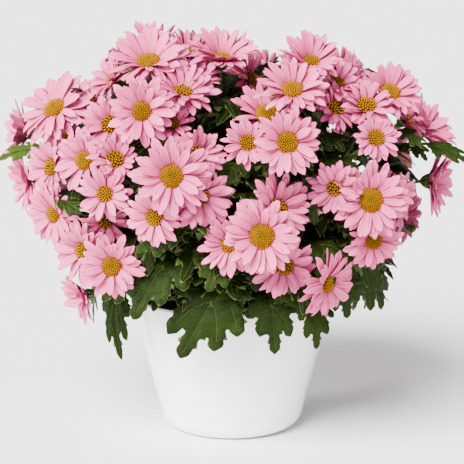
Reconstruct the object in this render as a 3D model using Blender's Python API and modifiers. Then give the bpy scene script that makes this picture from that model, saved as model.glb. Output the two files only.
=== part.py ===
"""A chrysanthemum in flower, in its grow pot, standing in a glazed cover pot.

Metres, +Z up, front towards -Y.  The origin is the centre of the cover pot's flat base.
Lengths in the constants and tables below are millimetres, angles are degrees.
An azimuth is measured from the front (-Y) and grows towards the right (+X).
"""

import math

import bmesh
import bpy
from mathutils import Matrix, Vector
from mathutils.bvhtree import BVHTree

MM = 0.001
GAP = 0.3

# Glazed cover pot
POT_HEIGHT = 98.0
POT_FOOT = 39.0  # radius of the flat base, where the rounded corner starts
POT_CORNER = 13.0  # outer radius of the rounded corner
POT_TAPER = 14.4  # lean of the wall from upright
POT_WALL = 3.6
POT_STEPS = 40

# Plastic grow pot inside it
GROW_FOOT = 38.0
GROW_TOP = 55.0
GROW_HEIGHT = 84.0
GROW_WALL = 1.2
GROW_RIM = 58.0
GROW_RIM_DEPTH = 6.0
DRAIN_COUNT = 8
DRAIN_RADIUS = 4.0
DRAIN_CIRCLE = 27.0

# Soil in the grow pot
SOIL_LEVEL = 76.0  # above the grow pot's foot
SOIL_CROWN = 2.0  # rise from there to the middle, and fall to the edge
SOIL_SHOULDER = 0.85  # share of the radius at which the soil is level
CUTTER_MARGIN = 1.0  # how far a cutter reaches past what it cuts

# Rooted cuttings: one to each quarter of the pot
CUTTING_AZIMUTHS = {"left_front": -45, "right_front": 45, "right_back": 135, "left_back": -135}
CUTTING_CIRCLE = 24.0
ROOT_DEPTH = 18.0
ROOT_PLAY = 0.6  # width of the gap between a stem and the soil around it
COLLAR = 4.0  # height above the soil at which the main stem starts to lean out
HUB_CIRCLE = 34.0
HUB_HEIGHT = 108.0
STEM_RADIUS = 3.0

# Branches and flower stalks
TIERS = (150, 215)  # heights that part low, middle and high branches
BRANCH_START = 0.55  # where the lowest branch leaves the main stem, from collar (0) to hub (1)
BRANCH_STEP = 0.2  # how much further up each higher branch leaves
BRANCH_SAG = 3.0
BRANCH_RADII = (2.6, 2.1)  # at its start and at its fork
FORK = 0.5  # share of the way from a branch's start to the middle of its flowers
STALK_START = 0.86  # share of the branch's length at which its stalks leave
STALK_RADII = (1.6, 1.3)
STALK_POINTS = 4
STALK_TIP = 6.0  # straight end of a flower stalk, along the flower's axis

# Flower head, as a turned solid about its own axis
CALYX_RADIUS = 4.6
CALYX_DEPTH = 7.0
CALYX_SHOULDER = 2.4  # depth of the calyx's widest ring
CALYX_FOOT = 2.8  # radius of the calyx where the stalk meets it
DISC_HEIGHT = 4.2
PETAL_LIFT = 1.6
PETAL_EDGE = 1.2
FLOWER_STEPS = 14

# The dome that the flowers at the back follow
DOME_RADIUS = 140.0
DOME_WIDEST = 185.0
DOME_TOP = 292.0
DOME_BOTTOM = 55.0
DOME_POWER = 2.5

# Flowers set one by one, most of them at the front: x, y, z of the disc, turn and lift of the
# face, petal and disc radius
FLOWERS = (
    (-120, -50, 236, -30, 45, 25, 7.5),
    (-58, -113, 242, 2, 18, 26, 6.5),
    (-55, -80, 270, -5, 58, 27, 8.0),
    (-7, -68, 271, 0, 68, 22, 6.5),
    (52, -78, 270, 8, 52, 21, 5.5),
    (39, -108, 254, 0, 52, 22, 7.5),
    (23, -90, 236, 3, 52, 15.5, 8.5),
    (106, -60, 248, 20, 50, 20, 7.5),
    (94, -94, 222, 12, 24, 19, 5.5),
    (-39, -101, 232, 0, 38, 16.5, 5.5),
    (10, -124, 223, -3, 18, 17, 5.5),
    (35, -135, 225, 3, 12, 22, 7.0),
    (-96, -97, 208, -30, 10, 23, 6.5),
    (-38, -138, 204, 0, 12, 27, 7.5),
    (-82, -113, 188, -10, 12, 17, 5.0),
    (-143, -8, 179, -62, 0, 18, 4.5),
    (-120, -68, 167, -40, 0, 21, 5.5),
    (-49, -130, 176, -22, 3, 18, 6.0),
    (140, -12, 181, 66, 5, 20, 6.5),
    (90, -110, 184, 5, 8, 26, 8.0),
    (93, -98, 155, 10, -8, 20, 5.5),
    (19, -141, 166, -6, 10, 25, 8.5),
    (-1, -126, 158, -8, 8, 19, 6.0),
    (-79, -106, 139, -5, 3, 22, 6.5),
    (62, -110, 128, 48, -5, 23, 5.5),
    (-100, -64, 110, -65, -10, 16, 4.5),
    (134, 2, 214, 62, 50, 20, 5.0),
    (-146, 16, 212, -72, 18, 19, 5.0),
    (-59, -40, 281, 0, 65, 15, 4.0),
    (-25, 78, 262, 190, 45, 23, 6.5),
)

# Rows of flowers round the back: height, number, first and last azimuth, petal radius
BACK_ROWS = (
    (232, 4, 114, 250, 24),
    (190, 4, 122, 238, 25),
    (145, 3, 112, 248, 23),
)
BACK_DISC = 0.3  # disc radius as a share of the petal radius
BACK_LIFT = 0.5  # degrees of lift for each millimetre above BACK_LEVEL
BACK_LEVEL = 168

# Leaves: the cutting that bears it, then where the stalk starts, bends and hangs to, the azimuth
# that the blade faces, and its half width
LEAVES = (
    ("left_front", (-44, -26, 106), (-92, -44, 126), (-78, -40, 58), -20, 12),
    ("left_front", (-30, -45, 128), (-38, -116, 160), (-66, -104, 106), -20, 21),
    ("left_front", (-10, -40, 112), (-6, -106, 132), (-33, -88, 78), -8, 24),
    ("right_front", (14, -40, 112), (22, -104, 130), (26, -86, 76), 0, 14),
    ("right_front", (36, -36, 108), (60, -92, 118), (59, -82, 86), 15, 10),
    ("right_front", (58, -58, 135), (92, -78, 152), (98, -64, 100), 20, 15),
    ("right_front", (112, -6, 200), (135, -30, 218), (166, -36, 196), 10, 9),
    ("left_front", (-112, -8, 196), (-130, -20, 212), (-165, -16, 197), -10, 10),
    ("right_back", (52, 14, 112), (96, 26, 134), (86, 30, 78), 90, 15),
    ("right_back", (36, 44, 102), (58, 100, 118), (50, 88, 58), 150, 17),
    ("left_back", (-12, 44, 112), (-24, 110, 134), (-26, 94, 70), 190, 17),
    ("left_back", (-44, 30, 102), (-98, 52, 124), (-84, 56, 72), 240, 16),
)
LEAF_STALK = 0.36  # share of a leaf's length that is stalk
LEAF_ARCH = 0.25  # how far from its bend a leaf starts to turn, as a share of the way to its ends
LEAF_STALK_WIDTH = 1.3
LEAF_THICK = 0.8
LEAF_GAP = 0.4  # between a leaf's stalk and the stem that bears it
LEAF_FOLD = 0.22  # how far the edges rise above the midrib, as a share of the half width
LEAF_TIP = 0.6  # half width at the very tip
LEAF_ROWS = 14
LEAF_LOBES = 3
LOBE_DEPTH = 0.22  # depth of the notches between lobes, as a share of the half width


def direction(turn, lift):
    """Unit vector that faces the azimuth turn and the elevation lift."""
    turn, lift = math.radians(turn), math.radians(lift)
    return Vector((math.sin(turn) * math.cos(lift), -math.cos(turn) * math.cos(lift), math.sin(lift)))


def ring_point(azimuth, radius, height):
    """Point at a radius from the pot's axis."""
    return direction(azimuth, 0) * radius + Vector((0, 0, height))


def collection(name):
    made = bpy.data.collections.new(name)
    bpy.context.scene.collection.children.link(made)
    return made


def material(name, colour, roughness, metallic=0.0):
    made = bpy.data.materials.new(name)
    made.use_nodes = True
    shader = made.node_tree.nodes["Principled BSDF"]
    shader.inputs["Base Color"].default_value = (*colour, 1.0)
    shader.inputs["Roughness"].default_value = roughness
    shader.inputs["Metallic"].default_value = metallic
    made.diffuse_color = (*colour, 1.0)
    return made


def add_object(name, data, home, finish=None):
    made = bpy.data.objects.new(name, data)
    home.objects.link(made)
    if finish:
        data.materials.append(finish)
    return made


def hide_cutter(cutter):
    cutter.hide_render = True
    cutter.display_type = "WIRE"


def turned(name, profile, steps, home, finish=None):
    """Solid of revolution about Z.  The profile (radius, height) runs down its outer side."""
    mesh = bpy.data.meshes.new(name)
    points = [(radius * MM, 0.0, height * MM) for radius, height in profile]
    edges = [(i, i + 1) for i in range(len(points) - 1)]
    mesh.from_pydata(points, edges, [])
    made = add_object(name, mesh, home, finish)
    screw = made.modifiers.new("turn", "SCREW")
    screw.axis = "Z"
    screw.steps = steps
    screw.render_steps = steps
    screw.use_merge_vertices = True
    screw.merge_threshold = 1e-5
    screw.use_smooth_shade = True
    return made


def arc(centre, radius, start, end, count):
    """Points on an arc from one angle to another, both ends included."""
    angles = [math.radians(start + (end - start) * i / (count - 1)) for i in range(count)]
    return [(centre[0] + radius * math.cos(a), centre[1] + radius * math.sin(a)) for a in angles]


def wall_radius(inset, height):
    """Radius of the cover pot's leaning wall, at a depth inset under its outer face."""
    lean = math.radians(POT_TAPER)
    foot = POT_FOOT + (POT_CORNER - inset) * math.cos(lean)
    start = POT_CORNER - (POT_CORNER - inset) * math.sin(lean)
    return foot + math.tan(lean) * (height - start)


def cover_pot_profile():
    corner = (POT_FOOT, POT_CORNER)
    inside = arc(corner, POT_CORNER - POT_WALL, -90, -POT_TAPER, 4)
    outside = arc(corner, POT_CORNER, -POT_TAPER, -90, 5)
    lip = POT_WALL / 2
    lip_height = POT_HEIGHT - lip
    edge = arc((wall_radius(lip, lip_height), lip_height), lip, 180 - POT_TAPER, -POT_TAPER, 5)
    return [(0, POT_WALL), *inside, *edge, *outside, (0, 0)]


def grow_pot_wall(height):
    """Outer radius of the grow pot at a height above its foot."""
    return GROW_FOOT + (GROW_TOP - GROW_FOOT) * height / GROW_HEIGHT


def grow_pot_profile():
    inner_foot = (grow_pot_wall(GROW_WALL) - GROW_WALL, GROW_WALL)
    inner_top = (GROW_TOP - GROW_WALL, GROW_HEIGHT)
    skirt = GROW_HEIGHT - GROW_RIM_DEPTH
    rim = [(GROW_RIM, GROW_HEIGHT), (GROW_RIM, skirt), (grow_pot_wall(skirt), skirt)]
    return [(0, GROW_WALL), inner_foot, inner_top, *rim, (GROW_FOOT, 0), (0, 0)]


def soil_profile():
    floor = GROW_WALL + GAP
    inset = GROW_WALL + GAP
    rim = SOIL_LEVEL - SOIL_CROWN
    edge = grow_pot_wall(rim) - inset
    top = [(0, SOIL_LEVEL + SOIL_CROWN), (edge * SOIL_SHOULDER, SOIL_LEVEL), (edge, rim)]
    return [*top, (grow_pot_wall(floor) - inset, floor), (0, floor)]


def cylinders(name, places, radius, low, high, home, sides=12):
    """One cutter made of upright cylinders, at (x, y) places."""
    shape = bmesh.new()
    for x, y in places:
        middle = Matrix.Translation((x * MM, y * MM, (low + high) / 2 * MM))
        bmesh.ops.create_cone(
            shape,
            cap_ends=True,
            segments=sides,
            radius1=radius * MM,
            radius2=radius * MM,
            depth=(high - low) * MM,
            matrix=middle,
        )
    mesh = bpy.data.meshes.new(name)
    shape.to_mesh(mesh)
    shape.free()
    made = add_object(name, mesh, home)
    hide_cutter(made)
    return made


def cut(target, cutter):
    boolean = target.modifiers.new(cutter.name, "BOOLEAN")
    boolean.operation = "DIFFERENCE"
    boolean.solver = "EXACT"
    boolean.object = cutter


def tube(name, points, radii, home, finish=None):
    """Closed round tube as a mesh, through points in millimetres, with a radius at each."""
    curve = bpy.data.curves.new(name, "CURVE")
    curve.dimensions = "3D"
    curve.bevel_depth = MM
    curve.bevel_resolution = 1
    curve.use_fill_caps = True
    spline = curve.splines.new("POLY")
    spline.points.add(len(points) - 1)
    for spot, point, radius in zip(spline.points, points, radii):
        spot.co = (*(point * MM), 1.0)
        spot.radius = radius
    guide = bpy.data.objects.new(name + "_curve", curve)
    bpy.context.scene.collection.objects.link(guide)
    mesh = bpy.data.meshes.new_from_object(guide)
    mesh.name = name
    shape = bmesh.new()
    shape.from_mesh(mesh)
    bmesh.ops.remove_doubles(shape, verts=shape.verts, dist=1e-6)
    bmesh.ops.recalc_face_normals(shape, faces=shape.faces)
    shape.to_mesh(mesh)
    shape.free()
    bpy.data.objects.remove(guide)
    bpy.data.curves.remove(curve)
    made = add_object(name, mesh, home, finish)
    mesh.shade_smooth()
    return made


def bezier(a, b, c, d, count):
    """Points on a cubic curve, both ends included."""
    found = []
    for i in range(count):
        t = i / (count - 1)
        s = 1 - t
        found.append(a * s**3 + b * 3 * s * s * t + c * 3 * s * t * t + d * t**3)
    return found


def taper(ends, count):
    """Radii that run evenly from the first end to the second."""
    return [ends[0] + (ends[1] - ends[0]) * i / (count - 1) for i in range(count)]


def dome_radius(height):
    """Distance of the flower discs from the pot's axis at a height."""
    reach = DOME_TOP - DOME_WIDEST if height > DOME_WIDEST else DOME_WIDEST - DOME_BOTTOM
    share = min(abs(height - DOME_WIDEST) / reach, 1.0)
    return DOME_RADIUS * (1 - share**DOME_POWER) ** (1 / DOME_POWER)


def back_flowers():
    """The same seven numbers as a row of FLOWERS, for each flower of the back rows."""
    for height, number, first, last, radius in BACK_ROWS:
        for i in range(number):
            azimuth = first + (last - first) * i / (number - 1)
            spot = ring_point(azimuth, dome_radius(height), height)
            lift = (height - BACK_LEVEL) * BACK_LIFT
            yield (*spot, azimuth, lift, radius, radius * BACK_DISC)


def flower_profile(radius, disc):
    """Flower head about its axis: domed disc, thin ring of petals, calyx behind them."""
    return [
        (0, DISC_HEIGHT),
        (disc, PETAL_LIFT),
        (radius, PETAL_LIFT),
        (radius, PETAL_LIFT - PETAL_EDGE),
        (CALYX_RADIUS, -CALYX_SHOULDER),
        (CALYX_FOOT, -CALYX_DEPTH),
        (0, -CALYX_DEPTH),
    ]


def add_flower(name, row, home, finish):
    """Adds a flower head and returns the point and direction in which its stalk arrives."""
    x, y, z, turn, lift, radius, disc = row
    axis = direction(turn, lift)
    made = turned(name, flower_profile(radius, disc), FLOWER_STEPS, home, finish)
    made.location = Vector((x, y, z)) * MM
    made.rotation_euler = axis.to_track_quat("Z", "Y").to_euler()
    return Vector((x, y, z)) - axis * (CALYX_DEPTH + GAP), axis


def nearest_cutting(spot):
    """The cutting in whose quarter of the pot a point lies."""
    return min(
        CUTTING_AZIMUTHS,
        key=lambda name: (ring_point(CUTTING_AZIMUTHS[name], HUB_CIRCLE, spot.z) - spot).length,
    )


def tiers_of(seats):
    """Groups the stalk ends of one cutting by height: low, middle and high."""
    low, high = TIERS
    groups = (
        [seat for seat in seats if seat[0].z < low],
        [seat for seat in seats if low <= seat[0].z < high],
        [seat for seat in seats if seat[0].z >= high],
    )
    return [group for group in groups if group]


def add_branch(name, start, seats, home):
    """Tubes of one branch: the branch itself, and a stalk to the seat of each of its flowers."""
    middle = sum((seat for seat, _ in seats), Vector()) / len(seats)
    ahead = (middle - start).normalized()
    fork = start.lerp(middle, FORK)
    line = [start, start.lerp(fork, 0.5) - Vector((0, 0, BRANCH_SAG)), fork]
    hide_cutter(tube(name, line, taper(BRANCH_RADII, len(line)), home))
    first = start.lerp(fork, STALK_START)
    for index, (seat, axis) in enumerate(seats):
        end = seat - axis * STALK_TIP
        reach = (end - first).length / 3
        curve = bezier(first, first + ahead * reach, end - axis * reach, end, STALK_POINTS)
        line = [*curve, seat]
        hide_cutter(tube(f"{name}_stalk_{index}", line, taper(STALK_RADII, len(line)), home))


def add_stems(name, azimuth, soil_top, seats, home, cutters, finish):
    """One rooted cutting: its main stem, a branch to each tier and a stalk to each flower."""
    root = ring_point(azimuth, CUTTING_CIRCLE, soil_top - ROOT_DEPTH)
    collar = ring_point(azimuth, CUTTING_CIRCLE, soil_top + COLLAR)
    hub = ring_point(azimuth, HUB_CIRCLE, HUB_HEIGHT)
    made = tube(name, [root, collar, hub], [STEM_RADIUS] * 3, home, finish)
    parts = bpy.data.collections.new(name + "_branches")
    cutters.children.link(parts)
    for number, group in enumerate(tiers_of(seats)):
        start = collar.lerp(hub, BRANCH_START + BRANCH_STEP * number)
        add_branch(f"{name}_branch_{number}", start, group, parts)
    union = made.modifiers.new("grown together", "BOOLEAN")
    union.operation = "UNION"
    union.solver = "EXACT"
    union.operand_type = "COLLECTION"
    union.collection = parts
    return made


def leaf_half_width(t, half):
    """Half width of a leaf at t along it: a narrow stalk, then a blade with rounded lobes."""
    if t <= LEAF_STALK:
        return LEAF_STALK_WIDTH
    along = (t - LEAF_STALK) / (1 - LEAF_STALK)
    blade = math.sin(math.pi * along**0.8) ** 0.7
    lobes = 1 - LOBE_DEPTH * (1 + math.cos(2 * math.pi * LEAF_LOBES * along))
    return max(LEAF_STALK_WIDTH * (1 - along), half * blade * lobes, LEAF_TIP)


def add_leaf(name, stem_surface, row, home, finish):
    """A thin leaf that starts at a stem, arches out over the pot's edge and hangs down."""
    _, start, bend, tip, facing, half = row
    spot, outward, _, _ = stem_surface.find_nearest(Vector(start) * MM)
    base = spot / MM + outward * LEAF_GAP
    bend, tip = Vector(bend), Vector(tip)
    clear = base + outward * LEAF_STALK_WIDTH
    before, after = bend.lerp(clear, LEAF_ARCH), bend.lerp(tip, LEAF_ARCH)
    line = [base, *bezier(clear, before, after, tip, LEAF_ROWS - 1)]
    shape = bmesh.new()
    across = direction(facing + 90, 0)
    rows = []
    for i, point in enumerate(line):
        ahead = line[min(i + 1, len(line) - 1)] - line[max(i - 1, 0)]
        side = (across - ahead * (across.dot(ahead) / ahead.length_squared)).normalized()
        above = side.cross(ahead).normalized()
        width = leaf_half_width(i / (len(line) - 1), half)
        lift = above * width * LEAF_FOLD
        spots = (point - side * width + lift, point, point + side * width + lift)
        rows.append([shape.verts.new(spot * MM) for spot in spots])
    for row_a, row_b in zip(rows, rows[1:]):
        for k in (0, 1):
            shape.faces.new((row_a[k], row_a[k + 1], row_b[k + 1], row_b[k]))
    mesh = bpy.data.meshes.new(name)
    shape.to_mesh(mesh)
    shape.free()
    made = add_object(name, mesh, home, finish)
    solid = made.modifiers.new("thickness", "SOLIDIFY")
    solid.thickness = LEAF_THICK * MM
    solid.offset = 0.0
    mesh.shade_smooth()
    return made


def main():
    for old in list(bpy.data.objects):
        bpy.data.objects.remove(old)
    plant = collection("potted_chrysanthemum")
    cutters = collection("cutters")
    glaze = material("white_glaze", (0.86, 0.86, 0.85), 0.12)
    plastic = material("black_plastic", (0.03, 0.03, 0.03), 0.45)
    earth = material("peat", (0.07, 0.045, 0.03), 0.95)
    green = material("stem_green", (0.10, 0.17, 0.05), 0.6)
    blade = material("leaf_green", (0.05, 0.12, 0.03), 0.5)
    pink = material("petal_pink", (0.82, 0.48, 0.58), 0.55)

    turned("cover_pot", cover_pot_profile(), POT_STEPS, plant, glaze)

    foot = POT_WALL + GAP
    grow_pot = turned("grow_pot", grow_pot_profile(), POT_STEPS, plant, plastic)
    grow_pot.location.z = foot * MM
    holes = [ring_point(360 * i / DRAIN_COUNT, DRAIN_CIRCLE, 0).xy for i in range(DRAIN_COUNT)]
    low, high = foot - CUTTER_MARGIN, foot + GROW_WALL + CUTTER_MARGIN
    cut(grow_pot, cylinders("drain_holes", holes, DRAIN_RADIUS, low, high, cutters))

    soil = turned("potting_soil", soil_profile(), POT_STEPS, plant, earth)
    soil.location.z = foot * MM
    soil_top = foot + SOIL_LEVEL
    sockets = [ring_point(azimuth, CUTTING_CIRCLE, 0).xy for azimuth in CUTTING_AZIMUTHS.values()]
    low, high = soil_top - ROOT_DEPTH - GAP, soil_top + SOIL_CROWN + CUTTER_MARGIN
    cut(soil, cylinders("stem_sockets", sockets, STEM_RADIUS + ROOT_PLAY, low, high, cutters))

    seats = {name: [] for name in CUTTING_AZIMUTHS}
    for number, row in enumerate([*FLOWERS, *back_flowers()], start=1):
        seat, axis = add_flower(f"flower_{number:02d}", row, plant, pink)
        seats[nearest_cutting(seat)].append((seat, axis))

    surfaces = {}
    for name, azimuth in CUTTING_AZIMUTHS.items():
        stems = add_stems(f"stems_{name}", azimuth, soil_top, seats[name], plant, cutters, green)
        bpy.context.view_layer.update()
        surfaces[name] = BVHTree.FromObject(stems, bpy.context.evaluated_depsgraph_get())

    for number, row in enumerate(LEAVES, start=1):
        add_leaf(f"leaf_{number:02d}", surfaces[row[0]], row, plant, blade)


main()
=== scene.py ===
"""The looks of a potted chrysanthemum: petals, discs, calyxes, stems, leaves, soil and glazed pot.

Blender works in metres; the constants and tables below are millimetres and degrees.  +Z is up and
the front is towards -Y.  An azimuth is measured from the front and grows towards the right (+X).
"""

import math

import bpy
import numpy as np
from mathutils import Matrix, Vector, geometry, noise


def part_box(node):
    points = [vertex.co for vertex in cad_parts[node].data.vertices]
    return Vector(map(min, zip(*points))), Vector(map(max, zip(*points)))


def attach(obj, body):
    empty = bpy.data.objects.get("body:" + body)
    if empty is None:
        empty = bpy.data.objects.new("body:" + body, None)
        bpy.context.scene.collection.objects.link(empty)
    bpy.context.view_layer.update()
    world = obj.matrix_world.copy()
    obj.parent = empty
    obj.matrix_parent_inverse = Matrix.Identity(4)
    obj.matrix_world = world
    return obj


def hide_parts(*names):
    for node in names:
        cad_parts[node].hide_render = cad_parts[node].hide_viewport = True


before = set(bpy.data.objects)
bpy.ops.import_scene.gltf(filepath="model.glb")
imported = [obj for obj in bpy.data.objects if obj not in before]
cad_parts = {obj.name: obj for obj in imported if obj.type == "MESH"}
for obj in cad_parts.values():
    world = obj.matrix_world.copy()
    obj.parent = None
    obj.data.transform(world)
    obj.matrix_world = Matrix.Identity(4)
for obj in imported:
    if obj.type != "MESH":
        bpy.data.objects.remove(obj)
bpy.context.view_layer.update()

MM = 0.001
SEED = 11  # of the soil, the flowers and the stems
LEAF_SEED = 1  # of the leaves
TRAITS = ("along", "across", "chance")  # what each point of a piece holds for its material

# Camera and studio
CAMERA_PLACE = (0, -1185, 362)
CAMERA_TARGET = (0, 0, 142)
CAMERA_VIEW = 15.8
LIGHT_TARGET = (0, 0, 150)
FLOOR_HALF = 14  # metres
FLOOR_DROP = 0.0003  # metres under the pot's foot
# Lights: where each shines from, its power and its width in degrees, seen from the plant
LIGHTS = {"key": ((-3000, -5600, 6000), 15.0, 36.0), "side": ((-2600, -500, 700), 5.7, 25.0)}
WALL_GLOW = 2.4  # the studio's walls at the horizon
CEILING_GLOW = 0.35
WALL_TOP = 0.4  # sine of the elevation where they end

# Cover pot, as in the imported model
POT_HEIGHT = 98.0
POT_FOOT = 39.0
POT_CORNER = 13.0
POT_TAPER = 14.4
POT_WALL = 3.6
POT_SEGMENTS = 80

# Stems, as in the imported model
CUTTINGS = {"left_front": -45, "right_front": 45, "right_back": 135, "left_back": -135}
CUTTING_CIRCLE = 24.0
ROOT_DEPTH = 17.0
HUB_CIRCLE = 34.0
HUB_HEIGHT = 108.0
TIERS = (150, 215)
FORK_SHARE = 0.5
# Radius at both ends, points along the line, sides
MAIN_STEM = (3.1, 2.6, 14, 12)
BRANCH = (2.5, 2.0, 12, 10)
STALK = (1.6, 1.25, 14, 7)

# A flower's own frame: its calyx ends this far behind the disc's foot
CALYX_DEPTH = 7.0
RING_PLANE = 1.0  # height of the middle of a packed flower's petal ring

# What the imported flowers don't say, by their number: radius of the petals and of the disc, rise of
# the petals in degrees and how open the disc's florets are, from 0, all buds, to 1
FLOWER_LOOKS = {
    1: (30, 7.5, -2, 0.5), 2: (24, 6.6, 20, 0.8), 3: (28, 8.0, 20, 0.6), 4: (26, 6.7, 32, 0.4),
    5: (23, 5.7, 28, 0.3), 6: (25, 7.5, 22, 0.7), 7: (25, 8.7, 24, 0.8), 8: (24, 7.4, 26, 0.5),
    9: (18, 5.6, 12, 0.3), 10: (18, 5.5, 34, 0.3), 11: (18, 5.4, 22, 0.3), 12: (23, 7.0, 16, 0.7),
    13: (23, 6.6, 18, 0.6), 14: (27, 7.8, 18, 0.9), 15: (20, 5.2, 12, 0.3), 16: (23, 4.3, 22, 0.4),
    17: (24, 5.7, 14, 0.5), 18: (21, 5.8, 14, 0.3), 19: (25, 6.0, 28, 0.4), 20: (27, 8.1, 14, 1.0),
    21: (21, 5.6, 14, 0.3), 22: (26, 8.3, 16, 1.0), 23: (22, 6.0, 18, 0.4), 24: (23, 6.6, 14, 0.6),
    25: (25, 5.4, 6, 0.3), 26: (21, 4.5, 28, 0.3), 27: (28, 5.0, 32, 0.4), 28: (24, 5.2, 40, 0.4),
    29: (15, 4.0, 48, 0.1), 30: (20, 6.0, 18, 0.4), 31: (20, 6.5, 10, 0.4), 34: (20, 6.5, 10, 0.4),
}
PLAIN_LOOKS = (0.29, 8, 0.5)  # for the rest: disc radius as a share of the petals', rise, openness

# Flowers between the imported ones: x, y, z, turn and lift of the face, petal radius, disc radius,
# rise of the petals and openness of the disc
SECOND_FLOWERS = (
    (-121, -60, 198, -40, 15, 22, 6.2, 20, 0.5), (-76, -106, 209, 0, 35, 18, 6.2, 30, 0.3),
    (-78, -72, 258, -60, 35, 20, 5.8, 30, 0.5), (-76, -8, 266, -130, 40, 16, 4.5, 30, 0.3),
    (-94, -42, 240, -60, 38, 19, 5.2, 30, 0.3), (-30, -48, 273, 60, 60, 21, 5.5, 34, 0.3),
    (-32, -100, 252, 20, 60, 24, 5.5, 18, 0.4), (-26, -82, 259, 30, 58, 19, 5.2, 30, 0.3),
    (-22, -118, 214, 15, 20, 19, 5.8, 24, 0.3), (-21, -130, 190, 15, 5, 23.5, 5.9, 16, 0.4),
    (69, -68, 255, 40, 50, 20, 5.5, 30, 0.3), (68, -78, 240, 30, 30, 19, 5.5, 24, 0.3),
    (89, -80, 241, 5, 50, 20, 6.8, 28, 0.5), (67, -112, 192, -10, 5, 20, 5.0, 16, 0.4),
    (29, -118, 180, 15, 15, 24, 5.8, 14, 0.4), (34, -116, 142, 10, -10, 23, 5.6, 12, 0.4),
    (112, -55, 168, 60, 0, 16, 4.6, 20, 0.3), (110, -74, 183, 45, 10, 17, 4.8, 22, 0.3),
    (-98, -84, 145, -35, 0, 25, 6.5, 14, 0.5), (-84, -86, 166, 10, -25, 19, 4.6, 20, 0.3),
    (66, 62, 255, 140, 46, 21, 5.8, 26, 0.4), (12, -40, 256, 50, 24, 20, 5.2, 20, 0.3),
    (50, -30, 266, 40, 66, 18, 5.4, 30, 0.4), (-54, 20, 272, 230, 62, 21, 5.8, 28, 0.4),
    (20, 26, 248, 160, 66, 20, 5.5, 30, 0.3), (86, -8, 255, 80, 46, 21, 5.8, 26, 0.4),
    (112, 22, 238, 100, 38, 20, 5.6, 24, 0.4), (-100, 20, 234, 260, 40, 20, 5.6, 24, 0.4),
    (-80, -86, 230, -20, 20, 21, 5.6, 24, 0.3), (78, 0, 259, 60, 50, 19, 5.5, 26, 0.3),
    (24, 74, 250, 170, 50, 20, 5.6, 26, 0.4), (-72, 56, 250, 220, 45, 20, 5.6, 26, 0.4),
    (-10, 30, 260, 190, 70, 19, 5.4, 28, 0.3), (120, -24, 226, 60, 40, 19, 5.2, 24, 0.3),
    (-112, -40, 214, -50, 20, 20, 5.5, 26, 0.3), (114, 12, 152, 94, 10, 18, 5.2, 22, 0.4),
    (110, 22, 128, 100, 4, 18, 5.2, 20, 0.3), (98, 32, 104, 108, -8, 17, 5.0, 20, 0.3),
    (46, 14, 256, 40, 68, 19, 5.4, 26, 0.4), (8, -6, 254, 0, 78, 19, 5.4, 22, 0.4),
    (-58, -8, 262, -90, 68, 19, 5.4, 26, 0.3), (-28, 2, 262, 0, 80, 18, 5.2, 24, 0.4),
)

# Rows of them round the sides and back: height, number, first and last azimuth, distance from the
# axis, petal radius
SECOND_ROWS = (
    (246, 2, 150, 208, 106, 21),
    (230, 3, 136, 228, 114, 20),
    (212, 2, 128, 154, 126, 22),
    (212, 2, 206, 232, 126, 22),
    (190, 3, 141, 219, 132, 20),
    (168, 5, 114, 252, 124, 21),
    (145, 4, 132, 228, 122, 20),
    (122, 4, 118, 242, 116, 21),
    (98, 3, 130, 230, 98, 19),
)
ROW_LEVEL = 168  # flowers look up above this height and down below it
ROW_LIFT = 0.5  # degrees for each millimetre

# Petals
PETAL_SPACING = 2.35  # arc that one petal takes, counted at PETAL_REACH of the petals' radius
PETAL_REACH = 0.5
PETAL_LAYERS = ((-9, 1.03, 0.0), (2, 0.97, 0.35), (13, 0.88, 0.7))  # rise, length and height
PETAL_SWAY = 13  # petals on the plant's side stand up, and those on the outside hang
PETAL_ROWS = 10
PETAL_COLUMNS = 7
PETAL_THICK = 0.34
PETAL_RIDGE = 0.42
PETAL_CUP = 0.24
PETAL_LENGTHS = (0.84, 1.08)  # shares of the plain length and width
PETAL_WIDTHS = (0.82, 1.16)
PETAL_FOOT = 0.8  # where petals start, as a share of the disc's radius
PETAL_TURN = 16  # degrees by which a petal rises more at its foot

# Rows of bracts on the calyx: number, and the heights of their lower and upper ends
CALYX_ROWS = ((8, -6.4, -3.0), (9, -5.2, -1.2), (10, -3.6, 0.6))
# How far out the bracts lie at some heights, as shares of the cup's radius
CALYX_HEIGHTS = (-7, -6, -4.6, -2.6, -0.8, 1)
CALYX_SHARES = (0.3, 0.45, 0.7, 0.94, 1.05, 1.16)
CALYX_SEGMENTS = 12

# Disc florets
FLORET_SPACING = 1.32
FLORET_SIDES = 5
FLORET_TILT = 62  # degrees, of the outermost
DISC_SHARE = 0.92  # of the disc's radius, for the dome under the florets
DISC_SEGMENTS = 14
DISC_HEIGHT = 0.34  # of the dome, as a share of the disc's radius
FAR_SPACING = 1.25  # by which florets stand wider apart on the flowers that aren't fine
GOLDEN_ANGLE = math.pi * (3 - math.sqrt(5))

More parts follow.
